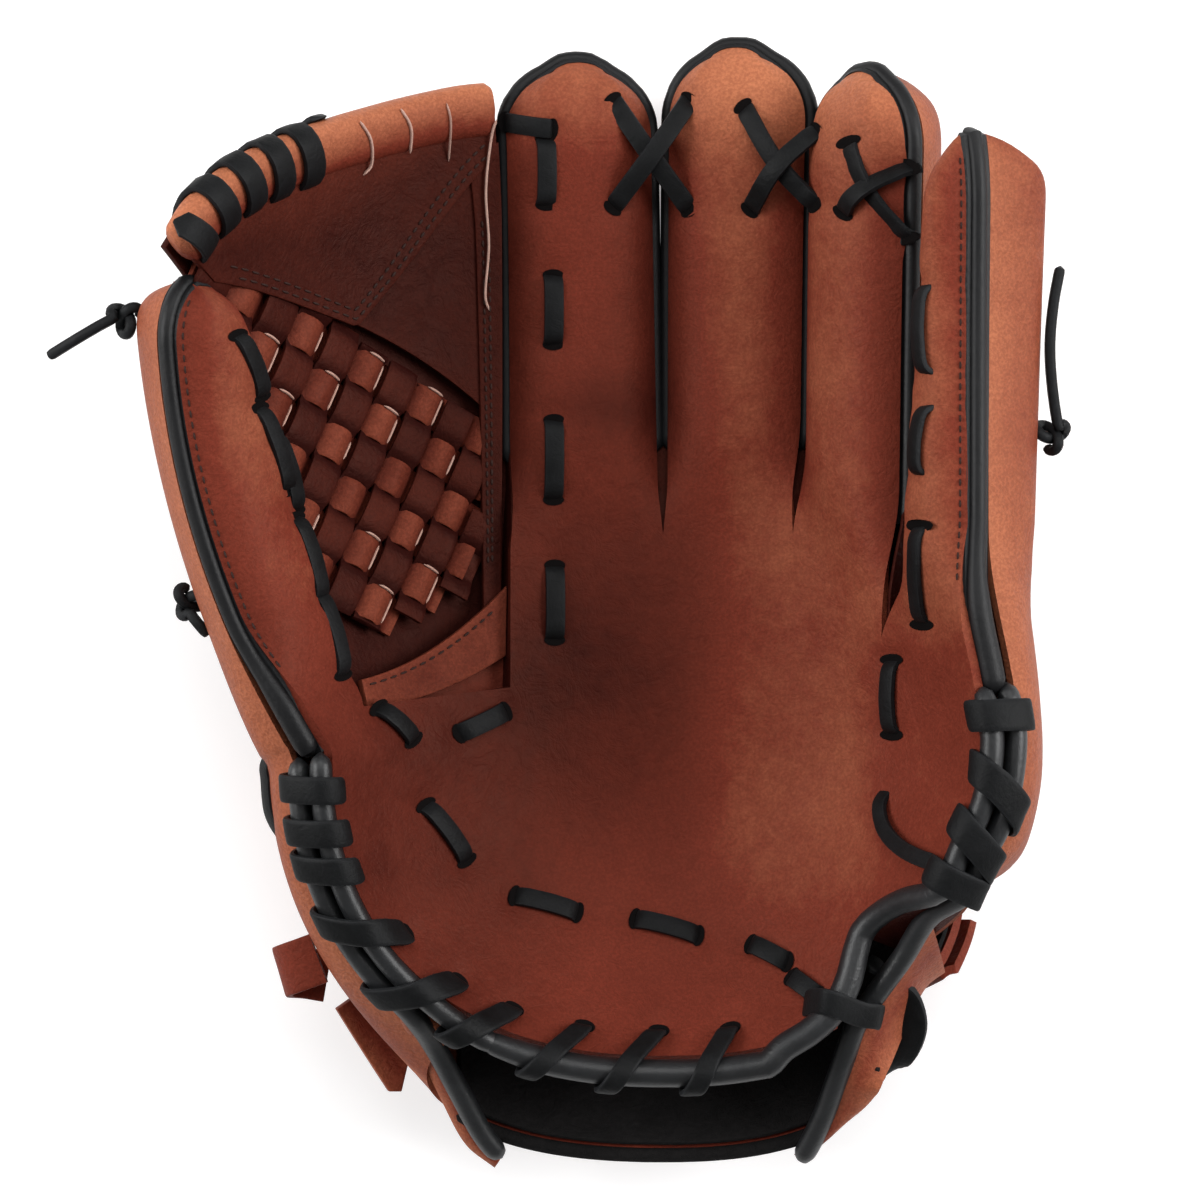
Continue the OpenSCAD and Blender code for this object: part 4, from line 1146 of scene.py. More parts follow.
def soften(obj: Object, angle: float = 40) -> None:
    """Shades an object smooth, with creases where faces turn by more than an angle in degrees."""
    pick(obj)
    bpy.ops.object.shade_smooth_by_angle(angle=math.radians(angle))


@dataclass(frozen=True)
class Blank:
    """One flat blank and its cells each way.

    shape takes u across and v along the blank, from -1 to 1, and gives each point's place in metres; the second
    function takes the same and gives each point's tone, wear together with painted light and shade.
    """

    shape: Former
    rub: Former | None
    across: int
    along: int


def formed(name: str, blanks: Sequence[Blank], flip: bool = False) -> Object:
    """Forms flat blanks and welds them where they meet.

    Args:
        name: The piece's name.
        blanks: The blanks it is cut from.
        flip: Whether the outer face looks down, as on the glove's back.

    Returns:
        The formed sheet, one layer thick.
    """
    parts = []
    for cut in blanks:
        part = blank(name, cut.across, cut.along)
        flat = points_of(part.data)
        set_points(part.data, cut.shape(flat[:, 0], flat[:, 1]))
        set_wear_and_shading(part.data, cut.rub(flat[:, 0], flat[:, 1]) if cut.rub else 0.0)
        parts.append(part)
    made = joined(name, parts)
    bpy.ops.object.mode_set(mode="EDIT")
    bpy.ops.mesh.select_all(action="SELECT")
    bpy.ops.mesh.remove_doubles(threshold=0.00002)
    if flip:
        bpy.ops.mesh.flip_normals()
    bpy.ops.object.mode_set(mode="OBJECT")
    return made


def thicken(obj: Object, thick: float, edge: Hide | None = None, soft: float = 0.5) -> None:
    """Gives a formed sheet its thickness inwards and rounds its cut edges.

    Args:
        obj: The sheet.
        thick: Its thickness in millimetres.
        edge: The finish of its cut edges, if they differ from its face.
        soft: Radius of the rounding, in millimetres.
    """
    apply(obj, "SOLIDIFY", thickness=thick * MM, offset=-1, material_offset_rim=1 if edge else 0)
    if soft:
        apply(obj, "BEVEL", width=soft * MM, segments=2, limit_method="ANGLE",
              angle_limit=math.radians(50), material=1 if edge else -1)
    soften(obj)


def dress(
    piece: Object, follow: Follow, finish: Hide, nodes: Sequence[str] = (), edge: Hide | None = None
) -> Object:
    """Gives a piece its finish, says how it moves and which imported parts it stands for.

    Args:
        piece: The finished mesh.
        follow: How it moves.
        finish: The finish of its faces.
        nodes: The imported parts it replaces.
        edge: The finish of its second material slot.

    Returns:
        The piece.
    """
    piece.data.materials.clear()
    piece.data.materials.append(finish.material())
    if edge:
        piece.data.materials.append(edge.material())
    fold = LAST.origin[0]
    if follow is Follow.THUMB_FOLD:
        x = (CUT.split_x + fold) * MM
        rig.blend(piece, "palm_side", "thumb_side", start=(x, 0, 0), end=(x - 0.045, 0, 0))
    elif follow is Follow.PINKY_FOLD:
        x = (float(CUT.pinky_line(np.float64(15))) + fold) * MM
        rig.blend(piece, "palm_side", "pinky_side", start=(x, 0.0156, 0), end=(x + 0.018, 0.01425, 0))
    elif follow is Follow.PINKY_BACK:
        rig.blend(piece, "palm_side", "pinky_side", start=(0, 0.002, 0.0046), end=(0, 0.01, 0.023))
    else:
        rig.ride(piece, follow.value)
    if nodes:
        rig.replaces(piece, *nodes)
    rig.slot(piece, finish.slot)
    LOG.info("%s: %d points, %s", piece.name, len(piece.data.vertices), follow.name)
    return piece


def cut_piece(
    name: str, blanks: Sequence[Blank], thick: float, follow: Follow, finish: Hide, nodes: Sequence[str] = (),
    edge: Hide | None = None, soft: float = 0.0, flip: bool = False,
) -> Object:
    """Forms a sheet of leather, felt or cloth from blanks, gives it its thickness and dresses it.

    Args:
        name: The piece's name.
        blanks: The blanks it is cut from.
        thick: Its thickness in millimetres.
        follow: How it moves.
        finish: The finish of its faces.
        nodes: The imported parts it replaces.
        edge: The finish of its cut edges, if they differ from its face.
        soft: Radius of its edges' rounding, in millimetres.
        flip: Whether the outer face looks down, as on the glove's back.

    Returns:
        The piece.
    """
    made = formed(name, blanks, flip)
    thicken(made, thick, edge, soft)
    return dress(made, follow, finish, nodes, edge)


def edges_in(u: Array) -> Array:
    """Spaces a blank's points closer towards its two edges."""
    return np.sin(np.pi / 2 * u)


def row(v: Array, first: float, last: float) -> Array:
    """Returns the pattern row of a blank's points."""
    return mix(first, last, (v + 1) / 2)


def back_place(
    plan: Callable, height: Callable, c: int, s: Array, j: Array, lift: Array | float = 0.0
) -> Array:
    """Forms points of a back, averaged along the rows so that it does not fold over at sharp turns.

    Args:
        plan: The pattern piece.
        height: Its back's height.
        c: The column.
        s: Places across the column.
        j: Rows.
        lift: Height over the back.

    Returns:
        Places in frame metres.
    """
    reach = np.clip(np.minimum(CUT.soft_rows * ease((j - CUT.soft_from) / 0.8), CUT.palm_rows - j), 0, None)
    near = [j + k * reach for k in np.linspace(-1, 1, 13)]
    return sum(LAST.at(*plan(c, s, k), height(c, s, k) + lift) for k in near) / len(near)


def thread_row(
    name: str, line: Array, heights: Array, pitch: float = 3.0, width: float = 0.75
) -> Object:
    """Sews a row of stitches: one stitch is modelled, repeated by an array and laid along a line.

    Args:
        name: The piece's name.
        line: Plan points of the row, in millimetres.
        heights: Heights of the row over the last at those points.
        pitch: Spacing of the stitches.
        width: Width of the thread.

    Returns:
        The row of stitches.
    """
    run = run_of(line)
    count = max(2, int(run[-1] / pitch))
    apart = 4
    clear_selection()
    bpy.ops.mesh.primitive_uv_sphere_add(
        segments=6, ring_count=4, radius=1, location=(0, 0, 0), rotation=(math.pi / 2, 0, 0))
    bpy.ops.object.transform_apply(location=True, rotation=True, scale=True)
    made = bpy.context.object
    made.name = made.data.name = name
    each = len(made.data.vertices)
    apply(made, "ARRAY", count=count, use_relative_offset=False, use_constant_offset=True,
          constant_offset_displace=(0, apart, 0))
    flat = points_of(made.data)
    number = np.repeat(np.arange(count), each)
    at = (number + 0.5) * run[-1] / count + (flat[:, 1] - apart * number) * pitch * 0.36
    x, y, h = met(at, run, np.c_[line, heights]).T
    way = unit(met(at, run, np.gradient(line, axis=0)))
    side = flat[:, 0] * width / 2
    set_points(made.data, LAST.at(x - way[:, 1] * side, y + way[:, 0] * side, h + flat[:, 2] * width * 0.45))
    set_wear_and_shading(made.data, 0.4)
    soften(made, 80)
    return made


@dataclass(frozen=True)
class LaceRun:
    """One lace on the leather: where each visible stitch comes up and goes down, in plan."""

    name: str
    nodes: tuple[str, ...]
    follow: Follow
    stitches: tuple[tuple[Plan, Plan], ...]
    width: float = 5.4
    arch: float = 0.9
    stacked: bool = False


RUNS = (
    LaceRun("web_side_lacing", ("index_web_lace",), Follow.PALM, (
        ((-24.1, 130), (-13.4, 129.4)), ((-15.1, 126.5), (-15.1, 108.6)), ((-13.2, 89.5), (-13.2, 70.3)),
        ((-13, 49.6), (-12.9, 27.6)), ((-12.4, 9.6), (-12.4, -11)))),
    LaceRun("index_cross", ("index_middle_lace",), Follow.PALM, (
        ((3.3, 137.2), (24.8, 107.3)), ((3.3, 107.9), (24.7, 137.2))), arch=2.6, stacked=True),
    LaceRun("middle_cross", ("middle_ring_lace",), Follow.PALM, (
        ((39.7, 135.6), (60, 107.7)), ((41.8, 107.2), (59.9, 127.9))), arch=2.6, stacked=True),
    LaceRun("ring_cross", ("ring_lace",), Follow.PALM, (
        ((69, 124), (77.5, 97)), ((68, 105), (78, 116))), arch=2.2, stacked=True),
    LaceRun("palm_lacing", ("palm_lace",), Follow.PALM, (
        ((-23.2, -80.7), (-6, -85.6)), ((9.6, -87.3), (26.9, -91.8)), ((41, -93.8), (50.4, -98)),
        ((51.6, -101.9), (58.3, -106.5)))),
    LaceRun("thumb_base_lacing", ("thumb_palm_lace",), Follow.THUMB_FOLD, (
        ((-59.3, -28.9), (-50.1, -37.9)), ((-38.1, -36.4), (-25.6, -30.5)), ((-46.9, -55.6), (-36, -70.9)))),
    LaceRun("thumb_lacing", ("web_thumb_lace",), Follow.THUMB_FOLD, (
        ((-97.5, 70), (-91, 54)), ((-92, 51), (-84.5, 29)), ((-87.5, 44), (-80.5, 24)),
        ((-82, 22), (-75, 0)), ((-75.5, 2), (-68.5, -20)))),
    LaceRun("little_finger_lacing", ("pinky_lace",), Follow.PINKY_FOLD, (
        ((88.5, 83.6), (88.5, 59.7)), ((88.5, 51.5), (87, 33.2)), ((87, 19.8), (85.6, -6.7)),
        ((78.3, -16.2), (78.5, -36.5)))),
)


def holes_of(runs: Sequence[LaceRun]) -> list[Place]:
    """Returns the punched holes of lace runs: plan point and the lace's direction in radians."""
    stitches = [stitch for run in runs for stitch in run.stitches]
    return [(*end, math.atan2(b[1] - a[1], b[0] - a[0])) for a, b in stitches for end in (a, b)]


def spot(x: Array, y: Array, middle: Plan, reach: Plan) -> Array:
    """Returns a soft patch in plan: 1 in its middle, fading over its reach."""
    return np.exp(-(((x - middle[0]) / reach[0]) ** 2) - ((y - middle[1]) / reach[1]) ** 2)


@dataclass
class Fronts:
    """The pocket side's leather: the palm with three stalls, the thumb side and the little-finger side."""

    per_row: int = 8
    across: int = 22
    dent: float = 1.3
    dent_reach: float = 3.6
    dent_most: float = 1.3
    plain_tone: float = 0.42
    surface: list[Array] = field(default_factory=list)

    def place(self, x: Array, y: Array, h: Array) -> Array:
        """Forms leather points, dented at every punched hole, and remembers their heights.

        Args:
            x: Plan positions across the glove.
            y: Plan positions from heel to tips.
            h: Heights over the last.

        Returns:
            Places in the frame, in metres.
        """
        pull = np.zeros_like(x)
        for hx, hy, _ in (*holes_of(RUNS), *Heel().holes()):
            pull += np.exp(-((x - hx) ** 2 + (y - hy) ** 2) / self.dent_reach**2)
        h = h - self.dent * np.minimum(pull, self.dent_most)
        self.surface.append(np.stack([x, y, h], -1))
        return LAST.at(x, y, h)

    def height(self, x: float, y: float) -> float:
        """Returns the leather's height over the last near a plan point.

        Args:
            x: Place across the glove, in plan.
            y: Place from heel to tips.
        """
        cloud = np.concatenate(self.surface)
        away = np.hypot(cloud[:, 0] - x, cloud[:, 1] - y)
        near = np.argsort(away)[:4]
        weight = 1 / (away[near] + 0.05)
        return float((cloud[near, 2] * weight).sum() / weight.sum())

    def shaded_and_worn(self, x: Array, y: Array, s: Array, j: Array) -> Array:
        """Says how light the leather's tone is: wear together with painted light and shade.

        Lightest on the tips and rims, from wear and painted light; darkest in the pocket and at the thumb's base, from
        painted shade.

        Args:
            x: Plan positions across the glove.
            y: Plan positions from heel to tips.
            s: Places across their columns.
            j: Rows.

        Returns:
            The tone, from 0 to 1.
        """
        # Painted shade in the pocket, at the thumb's base and in the index finger's crease; painted light on the right
        # side.
        pocket = spot(x, y, (-6, -18), (42, 46))
        base = spot(x, y, (-52, -48), (26, 30))
        right = ease((x - 14) / 26) * ease((y + 110) / 50)
        crease = spot(x, y, (2, 53), (15, 10))
        # Tips lighter from wear and painted light; the thumb's outer side and the little finger's back strip lighter
        # from painted light; the little finger's lower side and the heel's left darker.
        tip = ease((y - 114) / 34) * (0.28 + 0.08 * ease((x - 8) / 20))
        thumb = 0.16 * ease((-66 - x) / 16) * ease((y + 40) / 60)
        edge = 0.16 * ease((x - CUT.pinky_line(y) - 4) / 16) * ease((y + 20) / 60)
        pinky = edge - 0.14 * ease((x - 66) / 14) * ease((4 - y) / 24)
        heel = -0.12 * ease((-6 - x) / 20) * ease((-56 - y) / 20)
        # Painted shade where a stall's edges turn down towards the slits, fading towards the tips.
        turn = -0.24 * CUT.shaped(j) * np.abs(s) ** 3 * (1 - ease((y - 100) / 30))
        hand = self.plain_tone - 0.37 * pocket - 0.2 * base + 0.19 * right - 0.24 * crease
        return np.clip(hand + tip + thumb + pinky + heel + turn, 0.0, 1.0)

    def blanks(self, plan: Callable, columns: Sequence[tuple[int, float]]) -> list[Blank]:
        """Returns the blanks of a piece, one for each column.

        Args:
            plan: The pattern piece.
            columns: Its columns, each with its last row.
        """
        cuts = []
        for c, top in columns:
            def shape(u: Array, v: Array, c: int = c, top: float = top) -> Array:
                """Forms the column's points."""
                s, j = edges_in(u), row(v, 0, top)
                x, y = plan(c, s, j)
                return self.place(x, y, CUT.front_h(s, j) if top > CUT.palm_rows else np.zeros_like(x))

            def rub(u: Array, v: Array, c: int = c, top: float = top) -> Array:
                """Gives the column's points their tone: wear together with painted light and shade."""
                s, j = edges_in(u), row(v, 0, top)
                return self.shaded_and_worn(*plan(c, s, j), s, j)

            cuts.append(Blank(shape, rub, self.across, int(top * self.per_row)))
        return cuts

    def build(self) -> None:
        """Makes the three leather pieces."""
        full, palm = CUT.full, CUT.palm_rows
        pieces = (
            ("palm_leather", CUT.palm, ((0, full), (1, full), (2, full)), Follow.PALM, "palm_shell"),
            ("thumb_leather", CUT.thumb, ((0, full), (1, palm)), Follow.THUMB_FOLD, "thumb_shell"),
            ("little_finger_leather", CUT.pinky, ((0, full),), Follow.PINKY_FOLD, "pinky_shell"),
        )
        for name, plan, columns, follow, part in pieces:
            cut_piece(name, self.blanks(plan, columns), CUT.leather_t, follow, PALM_HIDE, [part])


@dataclass(frozen=True)
class Backs:
    """The leather of the glove's back, flat on the ground under the hand and full round the stalls."""

    per_row: int = 7
    across: int = 18

    def piece(
        self, name: str, plan: Callable, height: Callable, columns: Sequence[tuple[int, float, float]],
        follow: Follow, part: str, rub: float,
    ) -> None:
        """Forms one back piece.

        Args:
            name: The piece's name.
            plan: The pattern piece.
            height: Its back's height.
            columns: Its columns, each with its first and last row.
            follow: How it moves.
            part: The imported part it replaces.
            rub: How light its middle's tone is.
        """
        def shaded_and_worn(u: Array, v: Array) -> Array:
            """Makes a column lighter towards its edges."""
            return rub + 0.2 * np.abs(edges_in(u)) ** 4

        cuts = []
        for c, first, top in columns:
            def shape(u: Array, v: Array, c: int = c, first: float = first, top: float = top) -> Array:
                """Forms the column's points."""
                return back_place(plan, height, c, edges_in(u), row(v, first, top))

            cuts.append(Blank(shape, shaded_and_worn, self.across, int((top - first) * self.per_row)))
        cut_piece(name, cuts, CUT.leather_t, follow, PALM_HIDE, [part], flip=True)

    def build(self) -> None:
        """Makes the hand's back, the three stall backs, the thumb back and the little-finger back."""
        full, palm = CUT.full, CUT.palm_rows
        self.piece("hand_back_leather", CUT.palm, CUT.finger_back_h, [(c, 0, palm) for c in range(3)],
                   Follow.PALM, "hand_back", 0.3)
        for c, finger in enumerate(("index", "middle", "ring")):
            self.piece(finger + "_back_leather", CUT.palm, CUT.finger_back_h, [(c, palm, full)],
                       Follow.PALM, finger + "_back", 0.55)
        self.piece("thumb_back_leather", CUT.thumb, CUT.thumb_back_h, [(0, 0, full), (1, 0, palm)],
                   Follow.THUMB_FOLD, "thumb_back", 0.6)
        self.piece("little_finger_back_leather", CUT.pinky, CUT.pinky_back_h, [(0, 0, full)],
                   Follow.PINKY_BACK, "pinky_back", 0.6)


@dataclass(frozen=True)
class Crotches:
    """Leather deep between neighbouring stalls and along the open sides, which hides the inside and takes the finish's
    darkest tone as painted shade.
    """

    deep: float = 10.5
    under: float = 0.6
    lap: float = 3.5
    closed: float = 5.0
    bury: float = 0.6
    thick: float = 1.2
    steps: int = 16
    heel_row: float = 0.06

    def build(self) -> None:
        """Makes the strips between index, middle and ring stall, and the walls of the two open sides."""
        palm = CUT.palm_rows
        for c, (name, top) in enumerate((("index_crotch", 9.2), ("middle_crotch", 12.4))):
            def shape(u: Array, v: Array, c: int = c, top: float = top) -> Array:
                """Forms the strip between two stalls."""
                j, one = row(v, palm - 0.4, top), np.ones_like(u)
                (ax, ay), (bx, by) = CUT.palm(c, one, j), CUT.palm(c + 1, -one, j)
                x = (ax + bx) / 2 + u * ((bx - ax) / 2 + self.lap)
                deep = mix(CUT.leather_t + self.under, self.deep, CUT.shaped(j))
                return LAST.at(x, (ay + by) / 2, -deep + 1.5 * u * u)

            # No tone function, so the strip takes the darkest tone: painted shade between the stalls.
            cut_piece(name, [Blank(shape, None, 6, 40)], self.thick, Follow.PALM, PALM_HIDE)
        one, across = np.ones(self.steps), np.linspace(-1, 1, self.steps)
        up = np.linspace(palm, palm + self.closed, self.steps)
        down = np.linspace(palm + self.closed, palm, self.steps)
        self.wall("thumb_crotch", (
            (CUT.thumb, CUT.thumb_back_h, 0, one, down),
            (CUT.thumb, CUT.thumb_back_h, 1, across, palm * one),
            (CUT.palm, CUT.finger_back_h, 0, -one, up),
        ), Follow.THUMB_FOLD)
        self.wall("little_finger_crotch", (
            (CUT.pinky, CUT.pinky_back_h, 0, -one, down),
            (CUT.palm, CUT.finger_back_h, 2, one, up),
        ), Follow.PINKY_FOLD)
        self.wall("little_finger_heel_end", (
            (CUT.pinky, CUT.pinky_back_h, 0, across, self.heel_row * one),
        ), Follow.PINKY_BACK)

    def wall(
        self, name: str, run: Sequence[tuple[Callable, Callable, int, Array, Array]], follow: Follow
    ) -> None:
        """Closes the side between front and back leather with a bending wall.

        Args:
            name: The piece's name.
            run: Lengths of its edge: plan, back height, column, and places across and up the column.
            follow: How it moves.
        """
        edge = []
        skin = self.bury * CUT.leather_t
        for part, (plan, back, c, across, j) in enumerate(run):
            top, low = CUT.front_h(across, j) - skin, back(c, across, j) + skin
            edge.append(np.stack([*plan(c, across, j), top, low], -1)[1 if part else 0:])
        line = np.vstack(edge)

        def shape(u: Array, v: Array) -> Array:
            """Forms the wall between its two edges."""
            x, y, top, low = met((v + 1) / 2 * (len(line) - 1), np.arange(len(line)), line).T
            return LAST.at(x, y, mix(low, np.maximum(top, low), (u + 1) / 2))

        # No tone function, so the wall takes the darkest tone: painted shade along the open side.
        cut_piece(name, [Blank(shape, None, 8, 90)], self.thick, follow, PALM_HIDE)


@dataclass(frozen=True)
class Welts:
    """Black piping in the seam between a stall's front and back."""

    seat: float = 0.985
    width: float = 4.8
    deep: float = 4.4
    tongue_in: float = 0.955
    tongue_over: float = 1.4
    tongue_t: float = 1.6
    rim_deep: float = 6.6

    def piece(
        self, name: str, plan: Callable, c: int, sides: Sequence[int], first: float, follow: Follow, part: str
    ) -> None:
        """Lays one length of piping up a stall's edge, round its tip and down the other edge.

        Args:
            name: The piece's name.
            plan: The pattern piece.
            c: The column.
            sides: The edge it starts on, and the other one where it runs all the way down.
            first: Its first row.
            follow: How it moves.
            part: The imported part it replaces.
        """
        rows = np.linspace(first, CUT.full - 0.5, 46)
        back = rows[::-1] if len(sides) == 2 else rows[:-8:-1]
        run = [(sides[0] * self.seat, j) for j in rows]
        run += [(sides[0] * s, CUT.full) for s in np.linspace(0.7, -0.7, 5) * self.seat]
        run += [(-sides[0] * self.seat, j) for j in back]
        s, j = (np.array(v, float) for v in zip(*run))
        shaped = CUT.shaped(j)
        depth = -mix(CUT.heel_seam / 2, CUT.seam_t / 2 + CUT.edge_roll, shaped)
        x, y = plan(c, s, j)
        path, flank = smooth_with(LAST.at(x, y, depth), LAST.lean(x, y), 2.0)
        size = mix(self.rim_deep / self.deep, 1.0, shaped)
        size = np.interp(np.linspace(0, 1, len(path)), np.linspace(0, 1, len(shaped)), size)
        made = swept(name, path, flank, self.deep, self.width, 2.4, 12, round_ends=4, swell=size)
        x, y = plan(c, s * self.tongue_in, j)
        inside, lean = smooth_with(LAST.at(x, y, depth), LAST.lean(x, y), 2.0)
        tongue = swept(name, inside, lean, CUT.seam_t + self.tongue_over, self.tongue_t, 4, 8)
        dress(joined(name, [made, tongue]), follow, WELT_HIDE, [part])

    def build(self) -> None:
        """Makes the five welts and sews the seams beside the two outer ones."""
        palm = CUT.palm_rows
        for name, plan, c, sides, first, follow, part in (
            ("index_piping", CUT.palm, 0, (-1, 1), palm + 1, Follow.PALM, "index_welt"),
            ("middle_piping", CUT.palm, 1, (-1, 1), palm + 1, Follow.PALM, "middle_welt"),
            ("ring_piping", CUT.palm, 2, (-1, 1), palm + 1, Follow.PALM, "ring_welt"),
            ("thumb_piping", CUT.thumb, 0, (-1,), palm - 0.8, Follow.THUMB_FOLD, "thumb_welt"),
            ("little_finger_piping", CUT.pinky, 0, (1,), palm - 1.4, Follow.PINKY_FOLD, "pinky_welt"),
        ):
            self.piece(name, plan, c, sides, first, follow, part)
        j = np.linspace(palm + 0.6, CUT.full - 0.8, 80)
        for name, plan, side, follow in (
            ("thumb_seam", CUT.thumb, -0.955, Follow.THUMB_FOLD),
            ("little_finger_seam", CUT.pinky, 0.95, Follow.PINKY_FOLD),
        ):
            s = np.full_like(j, side)
            sewn = thread_row(name, np.stack(plan(0, s, j), -1), CUT.front_h(s, j) + 0.05, 2.8, 0.55)
            dress(sewn, follow, THREAD)


@dataclass(frozen=True)
class Layer:
    """One layer under the palm leather: the columns and rows it is cut from, and how full it is."""

    name: str
    part: str
    plan: Callable
    columns: tuple[int, ...]
    rows: Plan
    follow: Follow = Follow.PALM
    reach: float = 0.74
    deep: float = 3.4
    thick: float = 4
    stall: bool = True
    fill: float = 0.5

    def piece(self, finish: Hide) -> Object:
        """Forms the layer.

        Args:
            finish: The finish of its faces.

        Returns:
            The piece.
        """
        cuts = []
        for c in self.columns:
            def shape(u: Array, v: Array, c: int = c) -> Array:
                """Forms the column's points, held back from the hand's edges."""
                s, j = self.reach * edges_in(u), row(v, *self.rows)
                if not self.stall:
                    s = np.where((c == 2) & (s > 0), s * 0.7, np.where((c == 0) & (s < 0), s * 0.86, s))
                x, y = self.plan(c, s, j)
                return LAST.at(x, y, (CUT.front_h(s, j) if self.stall else 0.0) - self.deep)

            cuts.append(Blank(shape, None, 12, 28))
        soft = min(1.2, self.thick / 3)
        return cut_piece(self.name, cuts, self.thick, self.follow, finish, [self.part], soft=soft)


@dataclass(frozen=True)
class Padding:
    """Felt and lining between palm leather and hand."""

    hand: tuple[int, ...] = (0, 1, 2)
    hand_rows: Plan = (3.1, CUT.palm_rows)
    stall_rows: Plan = (CUT.palm_rows + 1.0, CUT.palm_rows + 6.0)
    heel_felt_t: float = 7
    heel_fill: float = 0.7
    cloth_t: float = 1.4
    cloth_deep: float = 7.9

    def build(self) -> None:
        """Makes the pads and the palm's lining."""
        stall, hand = self.stall_rows, self.hand
        base = {"thick": self.heel_felt_t, "stall": False, "fill": self.heel_fill}
        thumb, pinky = Follow.THUMB_FOLD, Follow.PINKY_FOLD
        for pad in (
            Layer("index_felt", "index_pad", CUT.palm, (0,), stall),
            Layer("middle_felt", "middle_pad", CUT.palm, (1,), stall),
            Layer("ring_felt", "ring_pad", CUT.palm, (2,), stall),
            Layer("thumb_felt", "thumb_pad", CUT.thumb, (0,), stall, thumb),
            Layer("little_finger_felt", "pinky_pad", CUT.pinky, (0,), stall, pinky),
            Layer("palm_felt", "palm_pad", CUT.palm, hand, self.hand_rows, reach=1, stall=False),
            Layer("heel_felt", "heel_pad", CUT.palm, hand, (1.1, 2.9), reach=1, **base),
            Layer("thumb_base_felt", "thumb_heel_pad", CUT.thumb, (1,), (1.6, 5.6), thumb, 0.8, **base),
            Layer("little_finger_base_felt", "pinky_heel_pad", CUT.pinky, (0,), (1, 5), pinky, 0.6, **base),
        ):
            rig.padded(pad.piece(FELT), pad.fill)
        cloth = Layer("palm_cloth", "palm_lining", CUT.palm, hand, self.hand_rows, reach=1,
                      deep=self.cloth_deep, thick=self.cloth_t, stall=False)
        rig.sheet(cloth.piece(LINING), (0.106, 0.075), "laid", ["palm_felt"], 0.0072)


